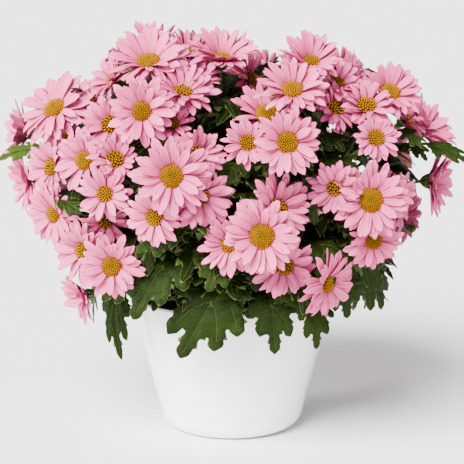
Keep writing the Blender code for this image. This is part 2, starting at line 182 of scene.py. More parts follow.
# Leaves over the pot's edge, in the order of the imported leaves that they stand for: where the stalk
# starts, bends and hangs to, the azimuth that the blade faces, half width, share of light green
RIM_LEAVES = (
    ((-44, -26, 106), (-92, -44, 126), (-78, -40, 58), -20, 12, 0.15),
    ((-30, -45, 128), (-38, -116, 160), (-64, -104, 106), -20, 22, 0.12),
    ((-10, -40, 112), (-2, -112, 136), (-35, -90, 73), -6, 27, 0.15),
    ((14, -40, 112), (27, -106, 130), (29, -88, 73), 4, 18, 0.15),
    ((36, -36, 108), (58, -92, 118), (57, -84, 78), 12, 13, 0.2),
    ((58, -58, 135), (92, -78, 152), (95, -66, 100), 20, 17, 0.15),
    ((112, -6, 200), (135, -30, 218), (166, -36, 196), 10, 9, 0.15),
    ((-112, -8, 196), (-130, -20, 212), (-165, -16, 197), -10, 8, 0.9),
    ((52, 14, 112), (96, 26, 134), (86, 30, 76), 90, 18, 0.25),
    ((36, 44, 102), (58, 100, 118), (50, 88, 57), 150, 20, 0.25),
    ((-12, 44, 112), (-24, 110, 134), (-26, 94, 68), 190, 20, 0.25),
    ((-44, 30, 102), (-98, 52, 124), (-84, 56, 70), 240, 18, 0.25),
)

# More leaves between them, which stand for no packed leaf
MORE_LEAVES = (
    ((-34, -34, 122), (-62, -92, 136), (-88, -80, 110), -30, 15, 0.25),
    ((-12, -44, 124), (-24, -108, 144), (-44, -96, 122), -12, 15, 0.2),
    ((4, -44, 120), (2, -104, 132), (-4, -94, 102), 0, 13, 0.15),
    ((20, -42, 120), (42, -98, 130), (48, -88, 98), 12, 15, 0.2),
    ((40, -44, 124), (76, -88, 136), (78, -78, 98), 20, 16, 0.25),
    ((52, -34, 120), (100, -50, 140), (104, -46, 96), 40, 17, 0.2),
    ((52, -36, 112), (88, -60, 124), (84, -54, 97), 56, 13, 0.2),
    ((56, -20, 112), (100, -34, 126), (94, -28, 94), 70, 17, 0.2),
    ((62, -10, 118), (108, -8, 134), (108, 4, 86), 80, 17, 0.2),
    ((20, 52, 110), (22, 108, 128), (16, 100, 74), 176, 17, 0.2),
    ((44, 30, 112), (92, 66, 130), (84, 66, 84), 122, 17, 0.2),
    ((-30, 48, 110), (-64, 96, 124), (-60, 88, 72), 212, 17, 0.2),
    ((-56, 8, 112), (-106, 6, 128), (-98, 8, 82), 268, 17, 0.2),
    ((-52, -10, 112), (-100, -24, 130), (-98, -26, 84), -76, 16, 0.3),
    ((-28, -60, 150), (-34, -118, 172), (-62, -116, 150), -12, 15, 0.25),
    ((-8, -60, 140), (-6, -124, 152), (-16, -120, 124), -4, 15, 0.2),
    ((44, -60, 150), (62, -110, 160), (66, -110, 128), 12, 15, 0.15),
    ((60, -70, 196), (70, -104, 206), (60, -108, 176), 10, 14, 0.15),
    ((40, -70, 190), (48, -112, 200), (54, -112, 168), 4, 14, 0.15),
    ((8, -70, 200), (2, -112, 214), (-6, -112, 190), -4, 12, 0.2),
    ((4, -30, 120), (2, -84, 146), (-2, -90, 112), 0, 17, 0.1),
    ((-10, -34, 132), (-16, -92, 160), (-20, -96, 128), -6, 17, 0.1),
    ((12, -34, 128), (14, -92, 152), (16, -94, 120), 6, 17, 0.1),
    ((-36, -30, 108), (-46, -58, 124), (-54, -66, 99), -35, 13, 0.15),
    ((0, 34, 124), (2, 90, 146), (4, 92, 112), 180, 17, 0.15),
)

# Small leaves just under the flowers, in the same way
TOP_LEAVES = (
    ((-96, -40, 236), (-104, -52, 250), (-106, -62, 252), -20, 6, 0.8),
    ((22, -52, 250), (30, -70, 264), (22, -80, 262), 0, 8, 0.2),
    ((110, -40, 215), (120, -60, 224), (128, -70, 212), 20, 9, 0.2),
    ((-124, -30, 200), (-140, -40, 208), (-146, -44, 206), -30, 5, 0.5),
    ((-118, -60, 176), (-112, -92, 182), (-100, -96, 172), -10, 9, 0.2),
    ((-30, -90, 160), (-26, -128, 172), (-10, -130, 168), 0, 10, 0.35),
    ((112, -30, 150), (124, -44, 158), (124, -48, 150), 40, 6, 0.5),
    ((100, -60, 196), (112, -84, 206), (118, -90, 204), 15, 4, 0.9),
    ((110, -22, 206), (124, -38, 216), (134, -44, 200), 25, 10, 0.15),
    ((-94, -44, 178), (-110, -66, 190), (-116, -72, 166), -30, 10, 0.3),
    ((-92, -48, 160), (-108, -72, 170), (-112, -78, 148), -20, 9, 0.45),
    ((-90, -40, 196), (-104, -58, 206), (-110, -62, 184), -30, 10, 0.2),
    ((24, -60, 248), (38, -72, 262), (52, -70, 256), 10, 9, 0.15),
    ((104, -30, 214), (114, -44, 226), (127, -50, 215), 20, 10, 0.1),
    ((52, -56, 214), (62, -74, 228), (74, -84, 212), 10, 13, 0.1),
    ((56, -60, 200), (68, -80, 212), (80, -92, 190), 10, 14, 0.1),
    ((0, -40, 240), (2, -52, 253), (8, -60, 252), 0, 6, 0.2),
    ((-6, -30, 214), (-10, -42, 238), (-18, -58, 230), 0, 13, 0.1),
    ((4, -30, 206), (6, -46, 230), (8, -62, 220), 0, 13, 0.1),
    ((16, -50, 252), (20, -58, 266), (31, -64, 270), 10, 7, 0.15),
)

# Leaves on each flower stalk: share of the stalk's length and size of the leaf
STALK_LEAVES = ((0.30, 44), (0.58, 30))
STALK_TURN = 75  # degrees to either side of straight out
STALK_SIZES = (0.8, 1.2)  # shares of that size
STALK_DROOP = (0.25, 0.95)

# Leaves that close the plant behind the flowers, on each cutting
FILL_LEAVES = 74
FILL_HEIGHTS = (112, 258)
FILL_SPREAD = 52  # degrees to either side of the cutting
FILL_REACH = (0.5, 0.86)  # distance from the axis, as a share of the dome's radius
CORE_REACH = (0.12, 0.45)  # the same for one leaf in CORE_SHARE
CORE_SHARE = 4
FILL_BLADE = (38, 50)
FILL_TURN = 35  # degrees by which a leaf turns from straight out, and by which it rolls
FILL_ROLL = 20
FILL_FALL = (0.12, 0.36)  # how steeply it hangs

# A leaf is left out where it would pass this far in front of a flower's disc and petals
HIDING_REACH = 60
HIDING_SHARE = 0.75  # of the petals' radius
STALK_LEAF_LOW = 104  # no leaf of a flower stalk hangs lower

# The dome that the flowers follow
DOME_RADIUS = 140.0
DOME_WIDEST = 185.0
DOME_TOP = 292.0
DOME_BOTTOM = 55.0
DOME_POWER = 2.5

# Leaves round the foot of each cutting
FOOT_LEAVES = 15
FOOT_HEIGHTS = (92, 165)
FOOT_HALF = 17
FOOT_SPREAD = 55  # degrees to either side of the cutting
FOOT_BENDS = (58, 72)  # distance from the axis where a leaf bends, and where it ends
FOOT_TIPS = (78, 92)
FOOT_LOW = 106  # no leaf of the foot ends lower

RIM_STALK = 0.37  # share of each kind of leaf that is its stalk
UPPER_STALK = 0.3
FOOT_STALK = 0.36
BRANCH_STALK = 0.22
LEAF_THICK = 0.5
THIN_LEAF = 12  # a leaf of less half width is thinner, and so is its stalk
# As shares of the blade's length: how deep the veins lie, how wide their valley is and by how much
# the rim lies lower
LEAF_VALLEY = (0.018, 0.045)
RIM_DROP = 0.008
INNER_SIDES = 3  # sides of an inner leaf's stalk
INNER_POINTS = 20  # points on its line

# A leaf blade, in shares of its length.  Each pair of side lobes: where its vein leaves the
# midrib, its angle to the midrib, its length and the lobe's half width
LEAF_LOBES = ((0.03, 78, 0.33, 0.082), (0.15, 55, 0.56, 0.105), (0.36, 40, 0.50, 0.100))
LEAF_END = (0.50, 0, 0.50, 0.100)
LEAF_BODY = (0.80, 0.12, 0.17)  # the part that joins the lobes: length, least and greatest half width
LEAF_WIDE = 0.42  # half width of the whole blade
LOBE_TURN = 24  # degrees by which a lobe's vein turns forward
# One edge of a lobe, with its teeth: shares of its length and of its half width
FINE_EDGE = (
    (0.0, 0.70), (0.22, 0.84), (0.34, 1.16), (0.36, 0.86), (0.46, 0.98), (0.58, 1.42), (0.60, 0.88),
    (0.68, 0.90), (0.79, 1.26), (0.81, 0.80), (0.87, 0.84), (0.95, 0.78), (1.0, 0.44),
)
PLAIN_EDGE = ((0.0, 0.70), (0.36, 0.92), (0.60, 1.30), (0.63, 0.92), (0.84, 0.86), (1.0, 0.30))
FINE_SHAPE = (FINE_EDGE, 8, 0.062)  # edge, points along a vein, distance between points inside
PLAIN_SHAPE = (PLAIN_EDGE, 4, 0.13)
SHAPES = 6
VEIN_WIDTH = 0.45  # from the middle of a vein
RIM_WIDTH = 0.32
LEAF_GREENS = ((0.0014, 0.0044, 0.0004), (0.0066, 0.0160, 0.0011))  # dark parts and pale parts
# Painted shade: the leaves inside the plant get a darker green, for the shade that falls inside it.
INNER_PAINTED_SHADE = 0.55  # how much of that green the leaves inside the plant have
STALK_MARK = 9.0  # what a leaf stalk holds in place of a distance from the rim

# Soil
SOIL_CROWN = 2.0  # of the packed soil, over its edge
SOIL_LEAN = 16.0  # by which its foot is narrower
SOIL_RINGS = 20
SOIL_SEGMENTS = 72
CRUMBS = 420
CRUMB_SIZES = (0.7, 2.1)


def direction(turn, lift=0.0):
    """Unit vector that faces the azimuth turn and the elevation lift."""
    turn, lift = math.radians(turn), math.radians(lift)
    return Vector((math.sin(turn) * math.cos(lift), -math.cos(turn) * math.cos(lift), math.sin(lift)))


def ring_point(azimuth, radius, height):
    """Point at a radius from the pot's axis."""
    return direction(azimuth) * radius + Vector((0, 0, height))


def bezier(a, b, c, d, count):
    """Points on a cubic curve, both ends included."""
    t = np.linspace(0, 1, count)[:, None]
    s = 1 - t
    return a * s**3 + b * 3 * s * s * t + c * 3 * s * t * t + d * t**3


def unit(vectors):
    return vectors / np.linalg.norm(vectors, axis=-1, keepdims=True)


def circle(count):
    """Angles that divide a full turn evenly."""
    return np.arange(count) * 2 * math.pi / count


def new_object(name, data):
    made = bpy.data.objects.new(name, data)
    bpy.context.scene.collection.objects.link(made)
    return made


# ---------------- meshes


class Shell:
    """Collects closed shapes, in millimetres, with three values at each point for the material."""

    def __init__(self):
        self.points = []
        self.faces = []
        self.values = []
        self.under = []
        self.count = 0

    def add(self, points, faces, along=0.0, across=0.0, chance=0.0, under=None):
        points = np.asarray(points, float).reshape(-1, 3)
        values = np.empty((len(points), 3))
        for column, value in enumerate((along, across, chance)):
            values[:, column] = np.asarray(value, float).reshape(-1)
        self.points.append(points)
        self.values.append(values)
        self.faces += [tuple(int(i) + self.count for i in face) for face in faces]
        self.under += [0.0] * len(faces) if under is None else list(under)
        self.count += len(points)

    def build(self, name, material, slot, replaces=()):
        """Makes the piece, smooth shaded, and lets it ride on the one body."""
        mesh = bpy.data.meshes.new(name)
        mesh.from_pydata((np.concatenate(self.points) * MM).tolist(), [], self.faces)
        values = np.concatenate(self.values).astype(np.float32)
        for column, key in enumerate(TRAITS):
            layer = mesh.attributes.new(key, "FLOAT", "POINT")
            layer.data.foreach_set("value", np.ascontiguousarray(values[:, column]))
        layer = mesh.attributes.new("under", "FLOAT", "FACE")
        layer.data.foreach_set("value", np.asarray(self.under, np.float32))
        mesh.materials.append(material)
        mesh.shade_smooth()
        piece = new_object(name, mesh)
        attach(piece, "root")
        if replaces:
            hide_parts(*replaces)


def blade_faces(rows, columns):
    """Faces of a thin closed blade: a grid on top and one below that shares its edge.  The four
    cells at the corners are cut through the corner, so that the two grids never share a face."""
    top = np.arange(rows * columns).reshape(rows, columns)
    below = top.copy()
    inner = (rows - 2) * (columns - 2)
    below[1:-1, 1:-1] = rows * columns + np.arange(inner).reshape(rows - 2, columns - 2)
    faces = []
    for grid, turn in ((top, 1), (below, -1)):
        made = []
        for i in range(rows - 1):
            for j in range(columns - 1):
                cell = (grid[i, j], grid[i + 1, j], grid[i + 1, j + 1], grid[i, j + 1])[::turn]
                if i in (0, rows - 2) and j in (0, columns - 2):
                    corner = cell.index(grid[i and rows - 1, j and columns - 1])
                    a, b, c, d = cell[corner:] + cell[:corner]
                    made += [(a, b, c), (a, c, d)]
                else:
                    made.append(cell)
        faces.append(made)
    return faces


def blade_spots(values, rows, columns):
    """The values of a grid of points, followed by those of the inner points of the grid below."""
    values = np.broadcast_to(values, (rows, columns))
    return np.concatenate([values.ravel(), values[1:-1, 1:-1].ravel()])


def add_blade(shell, centre, tangent, side, out, up, on, thick, along, across, chance):
    """Adds a closed blade.  centre, tangent and side hold a vector for each row; out, up and on
    move each point of the grid along the side, the normal and the tangent."""
    rows, columns = out.shape
    normal = np.cross(tangent, side)
    middle = (
        centre[:, None]
        + side[:, None] * out[..., None]
        + normal[:, None] * up[..., None]
        + tangent[:, None] * on[..., None]
    )
    half = normal[:, None] * (np.broadcast_to(thick, out.shape) / 2)[..., None]
    top = middle.copy()
    top[1:-1, 1:-1] += half[1:-1, 1:-1]
    below = (middle - half)[1:-1, 1:-1]
    faces = blade_faces(rows, columns)
    shell.add(
        np.concatenate([top.reshape(-1, 3), below.reshape(-1, 3)]),
        faces[0] + faces[1],
        blade_spots(along, rows, columns),
        blade_spots(across, rows, columns),
        chance,
        [0.0] * len(faces[0]) + [1.0] * len(faces[1]),
    )


def add_tube(shell, line, radii, sides, chance=0.0, mark=None):
    """Adds a round tube with closed ends along a line of points, which its first value counts
    unless a mark takes its place."""
    line = np.asarray(line, float)
    ahead = unit(np.gradient(line, axis=0))
    side = np.cross(ahead[0], (0.3, 0.2, 1.0))
    points = []
    angles = circle(sides)
    for spot, axis, radius in zip(line, ahead, radii):
        side = side - axis * side.dot(axis)
        side /= np.linalg.norm(side)
        other = np.cross(axis, side)
        points.append(spot + radius * (np.cos(angles)[:, None] * side + np.sin(angles)[:, None] * other))
    rings = len(line)
    points = np.concatenate([*points, line[:1], line[-1:]])
    faces = []
    for k in range(sides):
        n = (k + 1) % sides
        for low in range(0, (rings - 1) * sides, sides):
            faces.append((low + k, low + n, low + sides + n, low + sides + k))
        faces.append((rings * sides, n, k))
        faces.append((rings * sides + 1, (rings - 1) * sides + k, (rings - 1) * sides + n))
    if mark is None:
        mark = np.concatenate([np.repeat(np.linspace(0, 1, rings), sides), [0, 1]])
    shell.add(points, faces, mark, 0.0, chance)


def add_turned(shell, profile, segments):
    """Adds a solid of revolution.  The profile (radius, height) runs from axis to axis, up the
    outside."""
    angles = circle(segments)
    turned = np.stack([np.cos(angles), np.sin(angles), np.zeros(segments)], axis=1)
    points = []
    rings = []
    for radius, height in profile:
        start = len(points)
        if radius < 1e-9:
            points.append(np.array((0.0, 0.0, height)))
            rings.append([start] * segments)
        else:
            points += list(turned * radius + (0, 0, height))
            rings.append(list(range(start, start + segments)))
    faces = []
    for low, high in zip(rings, rings[1:]):
        for k in range(segments):
            n = (k + 1) % segments
            corners = [low[k], low[n], high[n], high[k]]
            faces.append(tuple(dict.fromkeys(corners)))
    heights = np.array([point[2] for point in points])
    shell.add(points, faces, heights)


# ---------------- materials


class Paint:
    """Builds the nodes of one material."""

    def __init__(self, name, **sockets):
        self.material = bpy.data.materials.new(name)
        self.material.use_nodes = True
        self.tree = self.material.node_tree
        self.shader = self.tree.nodes["Principled BSDF"]
        for key, value in sockets.items():
            self.shader.inputs[key.replace("_", " ")].default_value = value

    def node(self, kind, links=None, **settings):
        made = self.tree.nodes.new("ShaderNode" + kind)
        for key, value in settings.items():
            setattr(made, key, value)
        for key, value in (links or {}).items():
            self.put(made.inputs[key], value)
        return made

    def put(self, socket, value):
        if isinstance(value, bpy.types.NodeSocket):
            self.tree.links.new(value, socket)
        elif isinstance(value, tuple) and len(value) == 3 and socket.type == "RGBA":
            socket.default_value = (*value, 1.0)
        else:
            socket.default_value = value

    def value(self, name):
        return self.node("Attribute", attribute_name=name).outputs["Fac"]

    def traits(self):
        return [self.value(name) for name in TRAITS]

    def math(self, operation, a, b=0.0):
        return self.node("Math", {0: a, 1: b}, operation=operation).outputs[0]

    def times(self, a, b):
        return self.math("MULTIPLY", a, b)

    def size(self, a):
        return self.math("ABSOLUTE", a)

    def near(self, value, width):
        """1 where the value is 0, and 0 from the width on."""
        return self.shade(self.math("MINIMUM", self.math("DIVIDE", value, width), 1.0), 1.0, 0.0)

    def mix(self, factor, a, b):
        made = self.node("Mix", data_type="RGBA")
        for index, value in ((0, factor), (6, a), (7, b)):
            self.put(made.inputs[index], value)
        return made.outputs[2]

    def ramp(self, factor, *stops):
        """A smooth colour ramp through (place, colour) stops."""
        made = self.node("ValToRGB", {0: factor})
        elements = made.color_ramp.elements
        for element, (place, colour) in zip(elements, (stops[0], stops[-1])):
            element.position = place
            element.color = (*colour, 1.0)
        for place, colour in stops[1:-1]:
            elements.new(place).color = (*colour, 1.0)
        return made.outputs[0]

    def shade(self, factor, low, high):
        """Maps 0 to 1 onto low to high."""
        return self.node("MapRange", {0: factor, 3: low, 4: high}).outputs[0]

    def noise(self, vector, scale, detail=3.0, roughness=0.5):
        links = {"Vector": vector, "Scale": scale, "Detail": detail, "Roughness": roughness}
        return self.node("TexNoise", links).outputs["Fac"]

    def place(self):
        return self.node("TexCoord").outputs["Object"]

    def vector(self, x, y, z):
        return self.node("CombineXYZ", {0: x, 1: y, 2: z}).outputs[0]

    def finish(self, colour, roughness=None, height=None, distance=0.0002, strength=1.0):
        self.put(self.shader.inputs["Base Color"], colour)
        if roughness is not None:
            self.put(self.shader.inputs["Roughness"], roughness)
        if height is not None:
            bump = self.node("Bump", {"Height": height, "Distance": distance, "Strength": strength})
            self.put(self.shader.inputs["Normal"], bump.outputs[0])
        return self.material


def petal_paint():
    paint = Paint("petal", IOR=1.3, Subsurface_Weight=0.05, Subsurface_Scale=0.002)
    paint.shader.inputs["Subsurface Radius"].default_value = (1.0, 0.35, 0.5)
    along, across, chance = paint.traits()
    streaks = paint.noise(paint.vector(paint.times(across, 4.5), along, paint.times(chance, 40.0)), 2.2)
    # Pink from foot to tip: partly the petal's own deeper pink at its foot, partly painted shade at the
    # foot, where the petals overlap, and a painted highlight on the paler tips.
    face = paint.ramp(
        along,
        (0.0, (0.36, 0.040, 0.113)),
        (0.2, (0.54, 0.065, 0.181)),
        (0.55, (0.77, 0.100, 0.275)),
        (1.0, (0.90, 0.145, 0.365)),
    )
    face = paint.mix(paint.shade(streaks, -0.1, 0.75), face, (0.46, 0.052, 0.153))
    face = paint.mix(paint.shade(chance, 0.0, 0.35), face, (0.92, 0.18, 0.411))
    # Painted shade along the petal's two grooves, stronger towards its foot.
    groove_shade = paint.size(paint.math("SUBTRACT", paint.size(across), 0.36))
    groove_shade = paint.shade(paint.math("MINIMUM", paint.times(groove_shade, 6.0), 1.0), 0.75, 0.0)
    face = paint.mix(paint.times(groove_shade, paint.shade(along, 1.0, 0.3)), face, (0.42, 0.062, 0.143))
    # Painted shade along each petal's side edges, as cast by the petals beside it.
    edge = paint.math("POWER", paint.size(across), 5.0)
    face = paint.mix(paint.times(edge, 0.6), face, (0.44, 0.075, 0.162))
    back = paint.mix(paint.shade(streaks, 0.0, 1.0), (0.62, 0.135, 0.267), (0.44, 0.070, 0.162))
    colour = paint.mix(paint.value("under"), face, back)
    veins = paint.noise(paint.vector(paint.times(across, 14.0), paint.times(along, 1.5), chance), 1.6)
    colour = paint.mix(paint.shade(veins, -0.55, 0.95), colour, (0.50, 0.058, 0.165))
    return paint.finish(colour, paint.shade(streaks, 0.45, 0.65), veins, 0.00025, 0.6)


def disc_paint():
    paint = Paint("disc_florets", IOR=1.08)
    along, across, chance = paint.traits()
    open_colour = paint.ramp(
        across,
        (0.0, (0.100, 0.086, 0.0006)),
        (0.18, (0.15, 0.098, 0.0005)),
        (0.40, (0.27, 0.112, 0.0004)),
        (0.85, (0.31, 0.108, 0.0003)),
        (1.0, (0.28, 0.078, 0.0002)),
    )
    # Painted shade between the florets: the darkest colour at each floret's foot, on the dome under them,
    # and less in an open floret's hollow.
    colour = paint.mix(paint.shade(along, 1.0, 0.0), open_colour, (0.040, 0.012, 0.0002))
    colour = paint.mix(paint.shade(chance, 0.0, 0.25), colour, (0.38, 0.165, 0.0006))
    grain = paint.noise(paint.place(), 2600.0)
    return paint.finish(colour, paint.shade(grain, 0.5, 0.75), grain, 0.0002, 0.5)


def green_paint(name, dark, light, tip, rough):
    """Stalks, stems and calyxes: lengthwise ribs, with colour that changes along the piece."""
    paint = Paint(name, IOR=1.25)
    spots = paint.noise(paint.place(), 90.0, 5.0)
    ribs = paint.noise(paint.vector(paint.times(paint.value("across"), 9.0), spots, 0.0), 3.0)
    colour = paint.mix(paint.shade(spots, 0.0, 1.0), dark, light)
    colour = paint.mix(paint.times(paint.value("along"), 0.5), colour, tip)
    fine = paint.noise(paint.place(), 700.0, 4.0)
    return paint.finish(colour, rough, paint.math("ADD", ribs, fine), 0.0002, 0.6)


def leaf_paint(name, shade):
    """A leaf, whose dark green is the darker the lower its shade; a shade under 1 is painted shade, for the
    leaves inside the plant.
    """
    paint = Paint(name, IOR=1.25, Specular_IOR_Level=0.2)
    along, across, chance = paint.traits()
    place = paint.place()
    spots = paint.noise(place, 110.0, 5.0)
    fine = paint.noise(place, 600.0, 6.0, 0.7)
    cells = paint.node("TexVoronoi", {"Vector": place, "Scale": 330.0}, feature="DISTANCE_TO_EDGE")
    cells = paint.math("MINIMUM", paint.times(cells.outputs["Distance"], 4.0), 1.0)
    low, high = (tuple(shade * part for part in colour) for colour in LEAF_GREENS)
    mottle = paint.shade(spots, -0.4, 1.4)
    dark = paint.mix(mottle, low, high)
    light = paint.mix(mottle, (0.022, 0.042, 0.0022), (0.052, 0.082, 0.006))
    face = paint.mix(chance, dark, light)
    face = paint.mix(paint.shade(cells, 0.35, 0.0), face, (0.015, 0.027, 0.002))
    vein = paint.near(across, VEIN_WIDTH)
    face = paint.mix(paint.times(vein, 0.5), face, (0.062, 0.088, 0.022))
    face = paint.mix(paint.times(paint.near(along, RIM_WIDTH), 0.6), face, (0.095, 0.110, 0.036))
    back = paint.mix(spots, (0.022, 0.036, 0.012), (0.040, 0.060, 0.022))
    colour = paint.mix(paint.value("under"), face, back)
    height = paint.math("ADD", paint.times(fine, 0.5), paint.times(cells, 0.4))
    height = paint.math("SUBTRACT", height, paint.times(vein, 0.6))
    return paint.finish(colour, paint.shade(fine, 0.35, 0.6), height, 0.0007, 0.8)


def soil_paint():
    paint = Paint("peat", Specular_IOR_Level=0.2)
    chance = paint.value("chance")
    lumps = paint.noise(paint.place(), 260.0, 6.0, 0.65)
    colour = paint.mix(lumps, (0.016, 0.010, 0.006), (0.10, 0.058, 0.030))
    pale = paint.math("GREATER_THAN", chance, 0.9)
    colour = paint.mix(pale, colour, (0.62, 0.60, 0.55))
    return paint.finish(colour, paint.shade(lumps, 0.95, 0.75), lumps, 0.0015, 1.0)


def glaze_paint():
    paint = Paint("white_glaze", Coat_Weight=1.0, Coat_Roughness=0.06, Coat_IOR=1.6)
    place = paint.place()
    broad = paint.noise(place, 14.0, 2.0)
    fine = paint.noise(place, 900.0, 4.0)
    colour = paint.mix(broad, (0.84, 0.84, 0.835), (0.88, 0.88, 0.875))
    pits = paint.math("GREATER_THAN", fine, 0.76)
    colour = paint.mix(paint.times(pits, 0.25), colour, (0.62, 0.60, 0.57))
    height = paint.math("ADD", broad, paint.times(fine, 0.02))
    return paint.finish(colour, paint.shade(broad, 0.22, 0.30), height, 0.0004, 0.25)


def plastic_paint():
    paint = Paint("pot_plastic", Specular_IOR_Level=0.4)
    fine = paint.noise(paint.place(), 1400.0, 3.0)
    dust = paint.noise(paint.place(), 60.0, 6.0)
    colour = paint.mix(paint.shade(dust, 0.0, 0.5), (0.018, 0.018, 0.019), (0.07, 0.06, 0.05))
    return paint.finish(colour, paint.shade(dust, 0.38, 0.62), fine, 0.0001, 0.5)


def floor_paint():
    paint = Paint("floor", IOR=1.03)
    grain = paint.noise(paint.place(), 40.0, 3.0)
    colour = paint.mix(grain, (0.86, 0.86, 0.86), (0.88, 0.88, 0.88))
    return paint.finish(colour, 0.7)


# ---------------- flowers


class Head:
    """One flower: the point at the foot of its disc, its facing direction, and its looks."""

    def __init__(self, name, spot, axis, radius, disc, rise, openness, node=None, fine=True):
        self.name = name
        self.spot = np.array(spot, float)
        self.axis = np.array(axis, float)
        self.radius = radius
        self.disc = disc
        self.rise = rise
        self.openness = openness
        self.node = node
        self.fine = fine
        side = unit(np.cross((0.0, 0.0, 1.0), self.axis) + (1e-4, 0.0, 0.0))
        self.turn = np.stack([side, np.cross(self.axis, side), self.axis])

    def world(self, points):
        return self.spot + np.asarray(points) @ self.turn

    def around(self, angle, centre, tangent, side):
        """A blade's line, which points out along X, turned by an angle about the flower's axis."""
        c, s = math.cos(angle), math.sin(angle)
        spin = np.array(((c, s, 0), (-s, c, 0), (0, 0, 1)))
        return self.world(centre @ spin), tangent @ spin @ self.turn, side @ spin @ self.turn

    def add_core(self, shell, profile, segments, along, across, chance):
        """Adds a solid of revolution about the flower's axis."""
        core = Shell()
        add_turned(core, profile, segments)
        shell.add(self.world(core.points[0]), core.faces, along, across, chance)

    def seat(self):
        return self.spot - self.axis * CALYX_DEPTH


def packed_head(name):
    """Reads a packed flower's place, facing and radius from its mesh."""
    points = np.array([vertex.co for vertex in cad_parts[name].data.vertices]) / MM
    points = np.unique(points.round(2), axis=0)
    middle = points.mean(axis=0)
    axis = np.linalg.eigh(np.cov((points - middle).T))[1][:, 0]
    heights = (points - middle) @ axis
    away = np.linalg.norm(points - middle - heights[:, None] * axis, axis=1)
    ring = heights[away > away.max() * 0.97].mean()
    if heights.max() - ring > ring - heights.min():
        axis, heights, ring = -axis, -heights, -ring
    spot = middle + axis * (ring - RING_PLANE)
    number = int(name.split("_")[1])
    looks = FLOWER_LOOKS.get(number)
    if looks is None:
        share, rise, openness = PLAIN_LOOKS
        looks = (away.max() + 1, away.max() * share, rise, openness)
    return Head(name, spot, axis, *looks, node=name, fine=number in FLOWER_LOOKS)


def second_heads():
    """The flowers that stand for no packed one."""
    rows = [(Vector(row[:3]), direction(row[3], row[4]), *row[5:]) for row in SECOND_FLOWERS]
    share, rise, openness = PLAIN_LOOKS
    for height, number, first, last, reach, radius in SECOND_ROWS:
        for i in range(number):
            azimuth = first + (last - first) * i / (number - 1)
            axis = direction(azimuth, (height - ROW_LEVEL) * ROW_LIFT)
            rows.append((ring_point(azimuth, reach, height), axis, radius, radius * share, rise, openness))
    for number, row in enumerate(rows, start=42):
        yield Head(f"flower_{number:02d}", *row, fine=False)


def add_petals(head, rng):
    """Three whorls of ridged, cupped ray petals, shorter and steeper towards the disc."""
    shell = Shell()
    rows, columns = (PETAL_ROWS, PETAL_COLUMNS) if head.fine else (PETAL_ROWS - 3, PETAL_COLUMNS - 2)
    count = round(2 * math.pi * head.radius * PETAL_REACH / PETAL_SPACING)
    inward = np.array((-head.spot[0], -head.spot[1], 0.0))
    lean = head.turn @ (unit(inward) * 0.8 + (0, 0, 1))
    lean_angle = math.atan2(lean[1], lean[0])
    t = 1 - (1 - np.linspace(0, 1, rows)) ** 1.3
    v = np.linspace(-1, 1, columns)[None, :]
    u = t[:, None]
    waves = (columns - 1) // 2
    ridges = np.cos(waves * math.pi * v)
    width_curve = np.where(t < 0.55, 0.42 + 0.58 * np.sin(math.pi / 2 * np.minimum(t / 0.55, 1)), 1.0)
    width_curve *= np.sqrt(1 - 0.72 * (np.maximum(t - 0.6, 0) / 0.4) ** 2.4)
    for number in range(count):
        lift, share, level_up = PETAL_LAYERS[number % 3]
        angle = 2 * math.pi * (number + rng.uniform(-0.45, 0.45)) / count
        length = (head.radius - PETAL_FOOT * head.disc) * rng.uniform(*PETAL_LENGTHS) * share
        half = rng.uniform(*PETAL_WIDTHS) * (0.10 * head.radius + 0.5)
        sway = PETAL_SWAY * math.cos(angle - lean_angle)
        rise = math.radians(head.rise + lift + sway + rng.normal(0, 5))
        curl = math.radians(rng.normal(-10, 9))
        theta = rise + curl * (t - 0.4) * 2 + math.radians(PETAL_TURN) * np.exp(-6 * t)
        length /= math.cos(math.radians(head.rise) * 0.7)
        step = np.diff(t) * length
        middle = (theta[1:] + theta[:-1]) / 2
        out_line = PETAL_FOOT * head.disc + np.concatenate([[0], np.cumsum(np.cos(middle) * step)])
        up_line = 0.1 + level_up + np.concatenate([[0], np.cumsum(np.sin(middle) * step)])
        bend = rng.normal(0, 0.05) * length * t**2
        centre = np.stack([out_line, bend, up_line], axis=1)
        tangent = np.stack([np.cos(theta), np.zeros(rows), np.sin(theta)], axis=1)
        level = np.stack([-np.sin(theta), np.zeros(rows), np.cos(theta)], axis=1)
        twist = math.radians(rng.normal(7, 11)) * (0.3 + 0.7 * t)
        side = np.array((0.0, 1.0, 0.0)) * np.cos(twist)[:, None] + level * np.sin(twist)[:, None]
        width = (half * width_curve)[:, None]
        out = width * v
        flutter = rng.normal(0, 0.08) * np.sin(2 * math.pi * u + rng.uniform(0, 6))
        up = PETAL_CUP * rng.uniform(0.2, 1.8) * width * v**2 + flutter * width * v
        up += PETAL_RIDGE * ridges * np.sin(math.pi * np.clip(u, 0.02, 0.98)) ** 0.5
        notch = max(rng.normal(0.06, 0.12), 0.0)
        point = rng.uniform(0.55, 0.95)
        on = -point * half * np.abs(v) ** 2 * u**6 - notch * half * np.exp(-((v / 0.24) ** 2)) * u**10
        thick = PETAL_THICK * (1 - 0.5 * u) * np.ones_like(v)
        line = head.around(angle, centre, tangent, side)
        add_blade(shell, *line, out, up, on, thick, u, v, rng.uniform())
    nodes = (head.node,) if head.node else ()
    shell.build(head.name + "_petals", PETAL, "flower", nodes)


